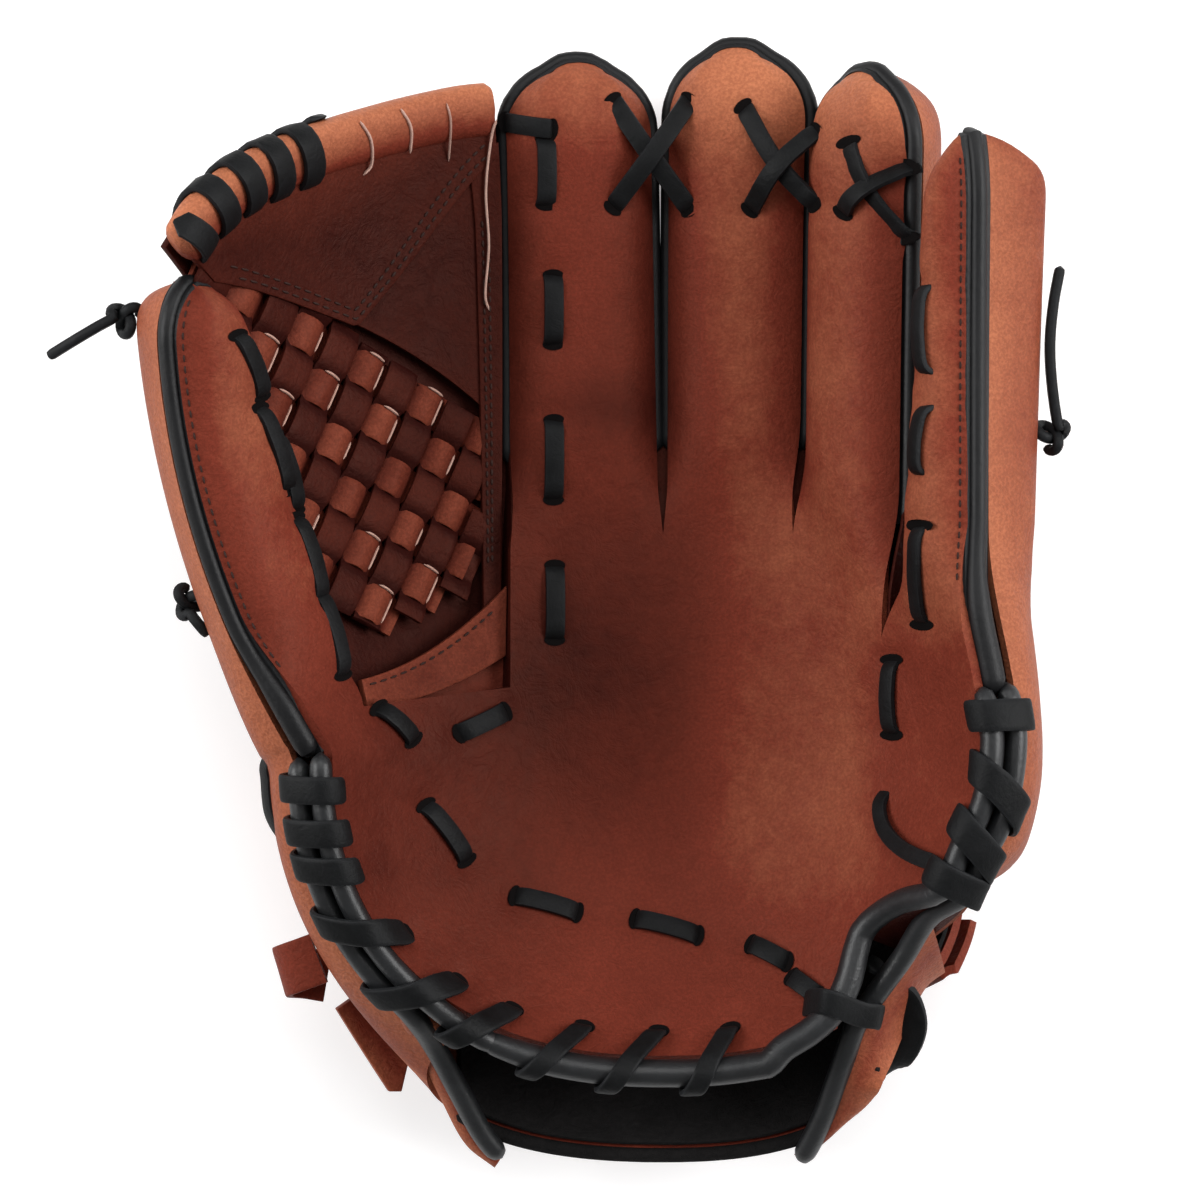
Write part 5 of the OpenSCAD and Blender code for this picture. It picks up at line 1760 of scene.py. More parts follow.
@dataclass(frozen=True)
class Heel:
    """Rolls along the heel rim and round the notch, and the flat lace wound round them."""

    roll: float = 6.8
    low_roll: float = 8.4
    end_round: float = 4.5
    lace_t: float = 1.9
    hole_off: float = -9.2
    inner: Plan = (2.6, -2.0)
    outer: Plan = (2.6, -9.2)
    low: Plan = (5.1, -1.3)
    thumb_turns: tuple[Plan, ...] = ((185.4, 184.6), (192.6, 191), (200, 196.5), (216, 206.5), (231, 222))
    heel_turns: tuple[Plan, ...] = ((243.5, 236), (257.3, 250.5), (269.2, 262.5), (280.4, 272.5))
    pinky_turns: tuple[Plan, ...] = ((365, 364), (359, 352.5), (350.5, 344), (341, 338))
    over_pair: tuple[Plan, ...] = (
        (1.6, 2.9), (5.8, 1.3), (7.4, -2.4), (7.4, -8.8), (5.8, -12.4), (1.5, -13.9), (-2.5, -12.8))
    over_low: tuple[Plan, ...] = ((1.5, 3.4), (5.1, 3.7), (8.9, 2.2), (10.6, -1.4), (8.9, -4.9), (4, -6.4))
    from_hole: tuple[Plan, ...] = ((-8.6, -4), (-8.4, -0.8), (-6.8, 1.4), (-3, 2.4))
    from_edge: tuple[Plan, ...] = ((-3.2, -1.2), (-2.4, 1.4))
    notch_way: tuple[Plan, ...] = (
        (49.5, -120.4), (57, -115.6), (63.4, -109.4), (67, -101.8), (68.8, -94.6), (71, -88.6), (75.4, -84),
        (81, -80.2))
    turn_up: tuple[Place, ...] = (
        (54.5, -108.9, -3.5), (56.4, -109.4, 1.0), (60.4, -110, 4.6), (65, -110.4, 5.4))
    turn_down: tuple[Place, ...] = ((80.6, -110.6, 66.2), (85.4, -111.6, 63), (87, -112.4, 58.5))
    turn_flank: Place = (0.15, 1.0, 0.2)
    notch_turn_w: float = 7.0
    pair_span: Plan = (180, 220)
    merge: Plan = (226, 18)
    ring_span: Plan = (338, 369)
    heel_lap: float = 4
    heel_end_x: float = 44.0

    def holes(self) -> list[Place]:
        """Returns the punched holes of the heel's lace: plan point and direction, the thumb side's first."""
        made = []
        for q, _ in (*self.thumb_turns[3:], *self.heel_turns):
            x, y, _ = LAST.rim_point(np.float64(q), self.hole_off, 0.0) / MM - np.array(LAST.origin)
            made.append((float(x), float(y), math.atan2(y - LAST.bowl_y, x - LAST.mid_x)))
        return made

    def turn(
        self, name: str, turns: Plan, lead: Sequence[Plan], over: Sequence[Plan], wide: float
    ) -> Object:
        """Lays one turn of flat lace over the rolls.

        Args:
            name: The piece's name.
            turns: Rim angles of its inner and outer end.
            lead: Its first places, as distances outside the rim and over the leather.
            over: Its places over the rolls.
            wide: The lace's width.

        Returns:
            The turn.
        """
        off, h = np.array([*lead, *over], float).T
        run = np.concatenate([[0], np.cumsum(np.hypot(np.diff(off), np.diff(h)))])
        q = mix(turns[0], turns[1], np.clip((run / run[-1] - 0.12) / 0.7, 0, 1))
        path = LAST.rim_point(q, off, h)
        flank = unit(LAST.rim_point(q + 0.6, off, h) - LAST.rim_point(q - 0.6, off, h))
        path, flank = smooth_with(path, flank, 1.0)
        along = unit(np.gradient(path, axis=0))
        flank = unit(flank - along * np.sum(flank * along, axis=1)[:, None])
        swell = 0.66 + 0.34 * ease(np.linspace(0, 1, len(path)) / 0.22)
        return swept(name, path, flank, wide, self.lace_t, FLAT_LACE, 14, round_ends=1.2, swell=swell)

    def build(self) -> None:
        """Makes the rolls of the three bodies and the turns of lace over them."""
        self.rolls()
        thumb, pinky = Follow.THUMB_FOLD, Follow.PINKY_FOLD
        for name, turns, over, wide, follow, nodes in (
            ("thumb_winding", self.thumb_turns, self.over_pair, 7.4, thumb, ["thumb_heel_lace"]),
            ("thumb_heel_winding", self.heel_turns[:1], self.over_low, 6.4, thumb, []),
            ("heel_winding", self.heel_turns[1:], self.over_low, 5.4, Follow.PALM, ["heel_lace"]),
            ("little_finger_winding", self.pinky_turns, self.over_pair, 8.6, pinky, ["pinky_heel_lace"]),
        ):
            made = []
            for number, pair in enumerate(turns):
                holed = over is self.over_low or (follow is Follow.THUMB_FOLD and number > 2)
                made.append(self.turn(name, pair, self.from_hole if holed else self.from_edge, over, wide))
            dress(joined(name, made), follow, LACE_HIDE, nodes)
        crossing = np.vstack([LAST.at(*np.array(self.turn_up).T), np.array(self.turn_down) * MM])
        path, flank = smooth_with(crossing, np.tile(self.turn_flank, (len(crossing), 1)), 1.0)
        made = swept("notch_turn", path, flank, self.notch_turn_w, self.lace_t, FLAT_LACE, 14, round_ends=2)
        dress(made, Follow.PALM, LACE_HIDE)

    def rolls(self) -> None:
        """Lays the rolls: pairs on the thumb and little-finger sides, one along the heel and up the notch."""
        split, r = LAST.rim_angle(CUT.split_x), self.roll
        thumb, pinky = Follow.THUMB_FOLD, Follow.PINKY_FOLD
        q = np.linspace(self.pair_span[0], split, 44)
        turn = ease((q - self.merge[0]) / self.merge[1])
        off, h = (mix(a, b, turn) for a, b in zip(self.inner, self.low))
        end = LAST.rim_angle(self.heel_end_x)
        heel = LAST.rim_point(np.linspace(split - self.heel_lap, end, 24), *self.low)
        notch = LAST.at(*np.array(self.notch_way).T)
        ring = LAST.rim_point(np.linspace(*self.ring_span, 5), *self.inner)
        side = LAST.rim_point(np.linspace(*self.ring_span[::-1], 5), *self.outer)
        left = LAST.rim_point(np.linspace(*self.pair_span, 6), *self.outer)
        wrist = Wrist()
        middle = np.array([LAST.mid_x + LAST.origin[0], LAST.bowl_y + LAST.origin[1], 0]) * MM
        for name, path, follow, nodes in (
            ("thumb_roll_inner", LAST.rim_point(q, off, h), thumb, ["thumb_heel_cords"]),
            ("heel_roll", np.vstack([heel, notch, ring]), pinky, ["heel_cords"]),
            ("thumb_roll_outer", np.vstack([left, np.array(wrist.left_way) * MM]), thumb, ["thumb_binding"]),
            ("little_finger_roll_outer", np.vstack([side, np.array(wrist.right_way) * MM]), pinky,
             ["pinky_heel_cords"]),
        ):
            path = smooth_path(path, 1.6)
            size = np.full(len(path), r)
            flank = np.cross(np.gradient(path, axis=0), (path - middle) * np.array([1, 1, 0]))
            if name == "heel_roll":
                share = np.linspace(0, 1, len(path))
                less = (self.low_roll - r - 0.4) * ease((share - 0.5) / 0.15)
                size = mix(r, self.low_roll, ease(share / 0.1)) - less
            made = swept(name, path, flank, 1.0, 0.9, ROUND, 18, round_ends=self.end_round, swell=size)
            dress(made, follow, ROLL_HIDE, nodes)


@dataclass(frozen=True)
class Wrist:
    """The wrist opening: its lining, bindings, strap with hook and loop tape, and the loose strap end."""

    lining_t: float = 1.4
    strap_row: float = 1.5
    strap_half: float = 0.49
    strap_t: float = 2.4
    tape_t: float = 0.9
    tail_w: float = 11.5
    tail_len: float = 30
    tail_bevel: float = 8
    flap_t: float = 1.6
    binding: Plan = (4.4, 4.0)
    binding_off: float = 1.6
    left_way: tuple[Place, ...] = (
        (-40, -110.5, 65), (-34, -120, 55), (-27.5, -133, 47), (-21.5, -145, 40.5), (-16, -152.5, 36))
    left_out: tuple[Place, ...] = (
        (-3, -2, -3), (-4.4, -2.4, -4), (-5, -3, -5), (-4.6, -3.6, -4), (-2, -3, -2))
    right_way: tuple[Place, ...] = (
        (99, -84, 73), (92.5, -95.5, 64.5), (85, -106.5, 60), (80.4, -113.5, 58.5), (77, -124, 54.5),
        (72.4, -139, 45.5), (67.4, -150.5, 38), (65.4, -153, 36))
    loop_way: tuple[Place, ...] = (
        (83, -97, 57), (88, -100, 55), (93.5, -106, 52), (96, -115, 49), (93, -124.5, 44.5), (88, -129.5, 39))
    loop_flank: tuple[Place, ...] = (
        (0.4, -1, 0.3), (0.7, -0.8, 0.3), (1, -0.4, 0.3), (1, 0, 0.3), (1, 0.4, 0.3), (0.8, 0.8, 0.3))
    fold_seat: Place = (-65.241, -96.415, 54.418)
    fold_run: tuple[Place, ...] = (
        (0, 0, 0), (-4, -1.5, -0.5), (-8, -3, -2), (-10, -4, -5.5), (-8.5, -4.5, -9), (-4, -5, -12),
        (1.5, -6, -13.4))
    fold_flank: Place = (0.3, -1.0, 0)
    fold_w: float = 14
    loop_lace: Plan = (8.4, 2.8)
    tail_root: Place = (-56.841, -108.215, 37.018)
    tail_way: Place = (0.52, -0.85, -0.22)
    tail_across: Place = (0.85, 0.52, -0.25)

    def edge(self, plan: Callable, back: Callable, run: Sequence[tuple[int, float]]) -> Array:
        """Follows a back's wrist edge, just outside it.

        Args:
            plan: The pattern piece.
            back: Its back's height.
            run: Column and place across it, one pair for each point.

        Returns:
            Places in the frame, in metres.
        """
        places = []
        for c, s in run:
            ends = []
            for j in (0.0, 0.4):
                s1, j1 = np.array([s], float), np.array([j])
                ends.append(LAST.at(*plan(c, s1, j1), back(c, s1, j1) + CUT.leather_t / 2)[0])
            places.append(ends[0] + self.binding_off * MM * unit(ends[0] - ends[1]))
        return np.array(places)

    def build(self) -> None:
        """Makes the wrist's pieces."""
        self.lining()
        low = [(0, s) for s in np.linspace(-1, 1, 7)] + [(1, s) for s in np.linspace(-0.7, 1, 6)]
        path = self.edge(CUT.palm, CUT.finger_back_h, [*low, (2, -0.6), (2, -0.2)])
        path, flank = smooth_with(path, np.tile([0, 0, 1.0], (len(path), 1)), 1.8)
        made = swept("wrist_edge", path, flank, *self.binding, ROUND, 16, round_ends=3)
        dress(made, Follow.PALM, LINING, ["wrist_binding"])
        self.sides()
        for name, columns, deep, thick, finish, part in (
            ("loop_tape", (1,), 0.8, self.tape_t, TAPE, "loop_patch"),
            ("hook_tape", (1,), 1.9, self.tape_t, TAPE, "hook_patch"),
            ("back_strap", (0, 1, 2), 3.3, self.strap_t, PALM_HIDE, "wrist_strap"),
        ):
            cuts = []
            for c in columns:
                def shape(u: Array, v: Array, c: int = c, deep: float = deep, thick: float = thick) -> Array:
                    """Forms one column of the strap or its tape."""
                    s, j = edges_in(u), self.strap_row + self.strap_half * v
                    return LAST.at(*CUT.palm(c, s, j), CUT.finger_back_h(c, s, j) - deep - thick)

                cuts.append(Blank(shape, lambda u, v: 0.5 + 0 * u, 14, 14))
            edge = CUT_EDGE if finish is PALM_HIDE else None
            cut_piece(name, cuts, thick, Follow.PALM, finish, [part], edge, 0.4, flip=True)
        self.loop()
        self.strap_end()

    def sides(self) -> None:
        """Closes both sides of the opening with a leather flap outside each roll."""
        left, right = np.array(self.left_way), np.array(self.right_way)
        rim = self.edge(CUT.palm, CUT.finger_back_h, [(2, 1.0), (2, 0.8), (2, 0.5), (2, 0.0)]) / MM
        one, j = np.ones(4), np.array([1.3, 0.9, 0.6, 0.3])
        side = LAST.at(*CUT.palm(2, one, j), CUT.finger_back_h(2, one, j)) / MM
        for name, line, outside, follow in (
            ("left_wrist_flap", left, left + np.array(self.left_out), Follow.THUMB_FOLD),
            ("right_wrist_flap", right, np.vstack([side, rim]), Follow.PINKY_FOLD),
        ):
            path, outer = smooth_path(line * MM, 1.8), smooth_path(outside * MM, 1.8)

            def shape(u: Array, v: Array, path: Array = path, outer: Array = outer) -> Array:
                """Forms the flap between its roll and its outer edge."""
                a, b = (met((v + 1) / 2, np.linspace(0, 1, len(way)), way) for way in (path, outer))
                bulge = np.array([0, 0, 0.0015]) * (1 - u * u)[:, None]
                return mix(a - np.array([0, 0, 0.002]), b, ((u + 1) / 2)[:, None]) + bulge

            cut = Blank(shape, lambda u, v: 0.55 + 0.2 * np.abs(u), 8, 40)
            cut_piece(name, [cut], self.flap_t, follow, PALM_HIDE, soft=0.3)

    def lining(self) -> None:
        """Lines the wrist opening with fleece, its edge a little wavy."""
        cuts = []
        for c in range(3):
            def shape(u: Array, v: Array, c: int = c) -> Array:
                """Forms one column of the fleece."""
                s, j = edges_in(u), row(v, -0.04, 2.0)
                x, y = CUT.palm(c, s, np.maximum(j, 0))
                wave = 0.7 * np.sin(x * 0.55) * np.cos(y * 0.4) * np.sin(np.pi * np.clip((v + 1) / 1.2, 0, 1))
                h = CUT.finger_back_h(c, s, np.maximum(j, 0)) + CUT.leather_t + 0.5 + self.lining_t
                return LAST.at(x, y + 4 * np.minimum(j, 0), h + 0.8 + wave)

            cuts.append(Blank(shape, lambda u, v: 0.3 + 0 * u, 20, 40))
        made = cut_piece("wrist_fleece", cuts, self.lining_t, Follow.PALM, LINING, ["wrist_lining"], soft=0.4)
        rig.sheet(made, (0.145, 0.075), "laid", ["hand_back_leather"], 0.0098)

    def loop(self) -> None:
        """Closes the wrist opening beside the notch with a loop of lace."""
        path, flank = smooth_with(np.array(self.loop_way) * MM, np.array(self.loop_flank))
        swell = 0.62 + 0.38 * np.sin(np.pi * np.linspace(0, 1, len(path)))
        made = swept("wrist_loop_lace", path, flank, *self.loop_lace, 3.5, 12, round_ends=2, swell=swell)
        dress(made, Follow.PALM, LACE_HIDE, ["wrist_loop"])

    def strap_end(self) -> None:
        """Makes the strap's fold at the heel's left and its bevelled loose end."""
        run = np.array(self.fold_seat) + np.array(self.fold_run)
        path, flank = smooth_with(run * MM, np.tile(self.fold_flank, (len(run), 1)), 1.0)
        made = swept("strap_turn", path, flank, self.fold_w, self.strap_t, 8, 20)
        set_wear_and_shading(made.data, 0.42)
        dress(made, Follow.THUMB_FOLD, PALM_HIDE, ["strap_fold"])
        root, across = np.array(self.tail_root), np.array(self.tail_across)
        way = unit(np.array(self.tail_way))
        side = unit(across - way * float(way @ across))
        up = np.cross(side, way)

        def shape(u: Array, v: Array) -> Array:
            """Forms the loose end, cut to a slanting point."""
            wide, long = self.tail_w, self.tail_len
            a = u * wide / 2
            slant = mix(long, long - self.tail_bevel, (a + wide / 4) / (0.75 * wide))
            end = np.where(a > -wide / 4, slant, mix(long - 2, long, (a + wide / 2) / (wide / 4)))
            b = (v + 1) / 2 * end
            lift = self.strap_t / 2 + 0.6 * np.sin(b / 9)
            return (root + side * a[:, None] + way * b[:, None] + up * lift[:, None]) * MM

        cut = Blank(shape, lambda u, v: 0.5 + 0.15 * np.abs(u), 16, 24)
        cut_piece("strap_loose_end", [cut], self.strap_t, Follow.STRAP, PALM_HIDE, ["strap_tail"],
                  CUT_EDGE, 0.3)


@dataclass(frozen=True)
class Web:
    """The basket web between thumb and index finger, in millimetres under the palm's surface."""

    drop: float = 7
    leaf_t: float = 2
    strip_t: float = 1.5
    first_cell: Plan = (-74.2, 71.3)
    cell_step: Plan = (7.34, -4.46)
    row_step: Plan = (-3.87, -9.86)
    strip_numbers: tuple[int, int] = (-6, 14)
    weave_rows: tuple[int, int] = (-1, 9)
    weave_columns: tuple[int, int] = (-8, 10)
    puff: float = 1.7
    band_w: float = 15
    band_t: float = 9
    lace_w: float = 7.4
    lace_t: float = 1.9
    lace_turns: int = 5
    band_way: tuple[Plan, ...] = (
        (-104, 90), (-99, 99), (-90, 108), (-78, 115.5), (-64, 122), (-48, 128), (-36, 131.6), (-26.5, 133.2))
    woven: tuple[Plan, ...] = (
        (-101, 85), (-71.6, 2.7), (-56.3, -7.6), (-36.5, 2.7), (-29.4, 21.6), (-29.4, 48), (-90, 92))
    wavy_edge: tuple[Plan, ...] = (
        (-27.6, 131), (-28.4, 126), (-29.8, 112), (-29.2, 97), (-30.2, 84), (-29.2, 79.5))
    band_slits: tuple[tuple[Plan, ...], ...] = (
        ((-62.5, 128), (-60.4, 123.5), (-59.4, 117), (-61, 113.8)),
        ((-52, 132.2), (-50, 127.5), (-49.4, 120.5)),
        ((-40.4, 134.6), (-39.6, 129.5), (-39.2, 119)))

    def corner(self) -> Array:
        """Returns the web's four corners in plan: thumb crotch, index crotch, index tip, thumb tip."""
        one = np.float64(1)
        ax, ay = CUT.thumb_row(one, CUT.thumb_share)
        tip = np.float64(CUT.thumb_tip)
        x = CUT.split_x - 1.4
        return np.array([[ax + 0.6, ay + 1], [x, CUT.web_low + 1], [x, CUT.crotch_y + CUT.index_len - 13.8],
                         [LAST.thumb_rim(tip) + 12.4, tip + 5.2]], float)

    def band_line(self, share: Array) -> Array:
        """Returns plan points of the top band's middle, from the thumb's tip to the index finger.

        Args:
            share: Shares of its length.
        """
        way = np.array(self.band_way)
        run = run_of(way)
        return met(share * run[-1], run, way)

    def plan(self, s: Array, t: Array) -> tuple[Array, Array]:
        """Lays out the web.

        Args:
            s: Shares of the way from thumb to index, from -1 to 1.
            t: Shares of the way from crotch to the top band's middle.

        Returns:
            Plan points.
        """
        p = self.corner()
        m, t = ((1 + s) / 2)[..., None], np.asarray(t)[..., None]
        place = mix(mix(p[0], p[3], t), mix(p[1], p[2], t), m)
        top = mix(p[3], p[2], m)
        place = place + (self.band_line((1 + s) / 2) - top) * np.clip((t - 0.8) / 0.2, 0, 1) ** 2
        return place[..., 0], place[..., 1]

    def leaf(
        self, name: str, s0: float, s1: float, low: Callable, high: Callable, depth: float, thick: float,
        nodes: Sequence[str], finish: Hide, rub: float, cells: tuple[int, int] = (24, 24),
        edge: Hide | None = None, lit: float = 0.0,
    ) -> None:
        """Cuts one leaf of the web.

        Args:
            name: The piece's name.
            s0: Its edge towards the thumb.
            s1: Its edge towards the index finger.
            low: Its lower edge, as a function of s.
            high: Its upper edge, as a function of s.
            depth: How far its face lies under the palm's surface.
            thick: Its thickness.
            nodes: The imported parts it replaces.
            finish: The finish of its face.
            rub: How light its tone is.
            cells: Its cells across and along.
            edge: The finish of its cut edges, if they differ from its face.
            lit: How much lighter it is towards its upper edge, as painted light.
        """
        def shape(u: Array, v: Array) -> Array:
            """Forms the leaf's points."""
            s = mix(s0, s1, (u + 1) / 2)
            x, y = self.plan(s, mix(low(s), high(s), (v + 1) / 2))
            return LAST.at(x, y, -depth)

        def shaded_and_worn(u: Array, v: Array) -> Array:
            """Makes the leaf lighter towards its edges, and towards its upper edge by painted light."""
            return rub + 0.08 * np.maximum(np.abs(u), np.abs(v)) ** 6 + lit * ease((v - 0.1) / 0.9)

        cut = Blank(shape, shaded_and_worn, *cells)
        cut_piece(name, [cut], thick, Follow.THUMB_FOLD, finish, nodes, edge, 0.35)

    @staticmethod
    def level(value: float) -> Callable[[Array], Array]:
        """Returns a leaf's straight edge."""
        return lambda s: value + 0 * s

    @staticmethod
    def bowed(low: float, rise: float) -> Callable[[Array], Array]:
        """Returns a leaf's edge that rises towards the index finger."""
        return lambda s: low + rise * ((1 + s) / 2) ** 2

    def vee(self, s: Array) -> Array:
        """Returns the yoke's lower edge, a vee with its point left of the middle."""
        return np.interp(s, [-1, -0.22, 0.66, 1], [0.95, 0.765, 0.885, 0.93])

    def slope(self, s: Array) -> Array:
        """Returns the weave's upper edge, falling from thumb to index."""
        return np.interp(s, [-1, 0.8, 1], [0.97, 0.515, 0.465])

    def gusset_top(self, s: Array) -> Array:
        """Returns the gusset's upper edge, tucked under the yoke."""
        return np.maximum(self.vee(s), self.slope(s)) + 0.03

    def build(self) -> None:
        """Makes the web's leaves, woven strips, top band and band lace."""
        weave = self.drop + self.strip_t + 0.5
        front = weave - self.strip_t - 0.5 - self.leaf_t
        level, bowed, thick = self.level, self.bowed, self.leaf_t
        self.leaf("web_backing", -1.05, 1.16, level(-0.1), level(1.0), weave + 2.4, thick, ["web_panel"],
                  WEB_HIDE, 0.0, (40, 60))
        self.leaf("web_gusset", -0.8, 0.97, self.slope, self.gusset_top, front + 1.4, 1.4, [], WEB_HIDE, 0.05)
        self.leaf("web_vee", -0.99, 0.99, self.vee, level(1.0), front, thick, ["web_yoke"],
                  WEB_HIDE, 0.1, (40, 16), lit=0.3)
        self.leaf("web_edge", 0.8, 1.02, level(0.1), lambda s: self.vee(s) + 0.02, front + 0.5, thick,
                  ["web_border"], WEB_HIDE, 0.06, (8, 60))
        self.leaf("web_crotch_strap", -0.86, 1.07, bowed(-0.015, 0.06), bowed(0.055, 0.11), front - 1.2,
                  thick, ["web_crotch_tab"], WEB_HIDE, 0.55, (40, 6), CUT_EDGE)
        self.leaf("web_heel_patch", -0.6, 1.12, level(-0.1), bowed(0.03, 0.1), front + 1.6, 1.4, [],
                  PALM_HIDE, 0.26, (30, 10))
        self.seams(front)
        self.strips("strips_across", self.cell_step, self.row_step, 0, weave, "web_strips_across", 0.62)
        self.strips("strips_along", self.row_step, self.cell_step, 1, weave, "web_strips_along", 0.16)
        self.cell_edges(weave)
        self.band()

    @staticmethod
    def inside(outline: Array, o: Array, d: Array) -> tuple[float, float] | None:
        """Finds the stretch of a line inside a convex outline.

        Args:
            outline: The outline's corners in plan.
            o: A point of the line.
            d: Its step.

        Returns:
            The first and last step inside, or None where the stretch is too short.
        """
        low, high = -1e9, 1e9
        for a, b in zip(outline, np.roll(outline, -1, axis=0)):
            e = b - a
            w = np.array([-e[1], e[0]]) / np.linalg.norm(e)
            lead, gap = float(w @ d), float(w @ (o - a))
            if abs(lead) < TINY:
                continue
            if lead > 0:
                low = max(low, -gap / lead)
            else:
                high = min(high, -gap / lead)
        return (low, high) if high - low > 0.9 else None

    def strips(
        self, name: str, way: Plan, other: Plan, phase: int, depth: float, part: str, rub: float
    ) -> None:
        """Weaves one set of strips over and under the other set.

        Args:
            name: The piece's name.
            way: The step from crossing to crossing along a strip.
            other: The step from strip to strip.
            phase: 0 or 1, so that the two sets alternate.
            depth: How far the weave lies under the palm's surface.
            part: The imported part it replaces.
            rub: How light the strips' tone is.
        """
        outline, way_v, other_v = np.array(self.woven, float), np.array(way), np.array(other)
        made = []
        for k in range(*self.strip_numbers):
            o = np.array(self.first_cell) + other_v * k
            span = self.inside(outline, o, way_v)
            if span is None:
                continue

            def shape(u: Array, v: Array, o: Array = o, span: tuple = span, k: int = k) -> Array:
                """Forms one strip over and under the others."""
                run = mix(span[0], span[1], (v + 1) / 2)
                over = np.where((np.rint(run) + k + phase) % 2 == 0, 1.0, -1.0)
                p = o + way_v * run[:, None] + other_v * (u * 0.44)[:, None]
                h = self.rise(run, over, phase) - 0.35 * u**4 * np.maximum(over, 0)
                return LAST.at(p[:, 0], p[:, 1], h - depth + self.strip_t / 2)

            def shaded_and_worn(u: Array, v: Array, k: int = k, span: tuple = span) -> Array:
                """Varies each crossing's tone a little, with painted shade where the strip dips under the other set.
                """
                run = mix(span[0], span[1], (v + 1) / 2)
                at = np.rint(run)
                return rub + 0.06 * np.sin(k * 2.3 + at * 1.7) - 0.3 * np.abs(2 * (run - at)) ** 3

            made.append(formed(name, [Blank(shape, shaded_and_worn, 8, max(10, int((span[1] - span[0]) * 10)))]))
        piece = joined(name, made)
        thicken(piece, self.strip_t, CUT_EDGE, soft=0.25)
        dress(piece, Follow.THUMB_FOLD, WEB_HIDE, [part], CUT_EDGE)

    def rise(self, run: Array, over: Array, phase: int) -> Array:
        """Returns a strip's height over the weave's middle.

        Args:
            run: Places along it, counted in crossings.
            over: 1 where it lies over the other set and -1 where it lies under.
            phase: Which set it belongs to.

        Returns:
            Heights in millimetres.
        """
        near = np.abs(run - np.rint(run))
        half = self.strip_t / 2 + 0.25
        puff = np.maximum(over, 0) * (0.3 if phase else self.puff)
        return half * over * ease((0.5 - near) / 0.14) + puff * np.cos(np.pi * near) ** 2

    def cell_edges(self, depth: float) -> None:
        """Lays the pale cut edges that show beside the upper crossings.

        Args:
            depth: How far the weave lies under the palm's surface.
        """
        outline, first = np.array(self.woven, float), np.array(self.first_cell)
        across, down = np.array(self.cell_step), np.array(self.row_step)
        made = []
        k = np.linspace(-0.36, 0.36, 6)
        for r in range(*self.weave_rows):
            span = self.inside(outline, first + down * r, across)
            for c in range(*self.weave_columns):
                if span is None or (c + r) % 2 or not span[0] + 0.6 < c < span[1] - 0.6:
                    continue
                mark = math.sin(c * 12.9 + r * 7.7)
                side = (np.full(6, c + 0.41), r + k * (0.75 + 0.25 * mark))
                end = (c + 0.1 + k * 0.8, np.full(6, r - 0.43))
                for run, lane in (side, end):
                    if mark < (-0.45 if lane[0] != lane[1] else 0.25):
                        continue
                    p = first + across * run[:, None] + down * lane[:, None]
                    h = self.rise(run, np.ones(6), 0) - depth + self.strip_t / 2 + 0.1
                    path, flank = smooth_with(LAST.at(p[:, 0], p[:, 1], h), LAST.lean(p[:, 0], p[:, 1]), 1.0)
                    made.append(swept("weave_cut_edges", path, flank, 0.8, 0.75, ROUND, 6, round_ends=1.5))
        piece = joined("weave_cut_edges", made)
        set_wear_and_shading(piece.data, 0.35)
        dress(piece, Follow.THUMB_FOLD, CUT_EDGE)

    def seams(self, front: float) -> None:
        """Sews the web: two rows above the yoke's lower edge, two down the border, one along the strap.

        Args:
            front: How far the web's face lies under the palm's surface.
        """
        k = np.linspace(0, 1, 60)
        rows = []
        for inset in (0.016, 0.034):
            s = mix(-0.86, 0.92, k)
            rows.append((s, self.vee(s) + inset, front - 0.15))
        for side in (0.855, 0.905):
            rows.append((np.full(60, side), mix(0.22, 0.84, k), front + 0.35))
        s = mix(-0.8, 0.9, k)
        rows.append((s, self.bowed(0.04, 0.105)(s), front - 1.35))
        sewn = []
        for s, t, deep in rows:
            line = np.stack(self.plan(s, t), -1)
            sewn.append(thread_row("web_thread", line, np.full(60, -deep), 2.6, 0.7))
        dress(joined("web_thread", sewn), Follow.THUMB_FOLD, THREAD)
        self.cut_lines(front)

    def cut_lines(self, front: float) -> None:
        """Lays the pale cut edges that show on the web: the wavy side edge and the slits of the top band.

        Args:
            front: How far the web's face lies under the palm's surface.
        """
        parts = []
        band = self.band_line(np.linspace(0, 1, 80))
        half, over = self.band_w / 2, self.band_t / 2 + 0.2 - self.drop
        for number, points in enumerate((self.wavy_edge, *self.band_slits)):
            line = np.array(points, float)
            x, y = line.T
            near = np.min(np.linalg.norm(line[:, None] - band[None], axis=-1), axis=1)
            h = np.where(near < half, over - (near / half) ** 3 * (over + front), -front) + 0.25
            h = h if number else h + 0.3
            thick = 0.5 if number == len(self.band_slits) else 0.75
            path, flank = smooth_with(LAST.at(x, y, h), LAST.lean(x, y), 1.0)
            parts.append(swept("web_cut_edges", path, flank, 1.0, thick, ROUND, 8, round_ends=1.5))
        made = joined("web_cut_edges", parts)
        set_wear_and_shading(made.data, 0.45)
        dress(made, Follow.THUMB_FOLD, CUT_EDGE)

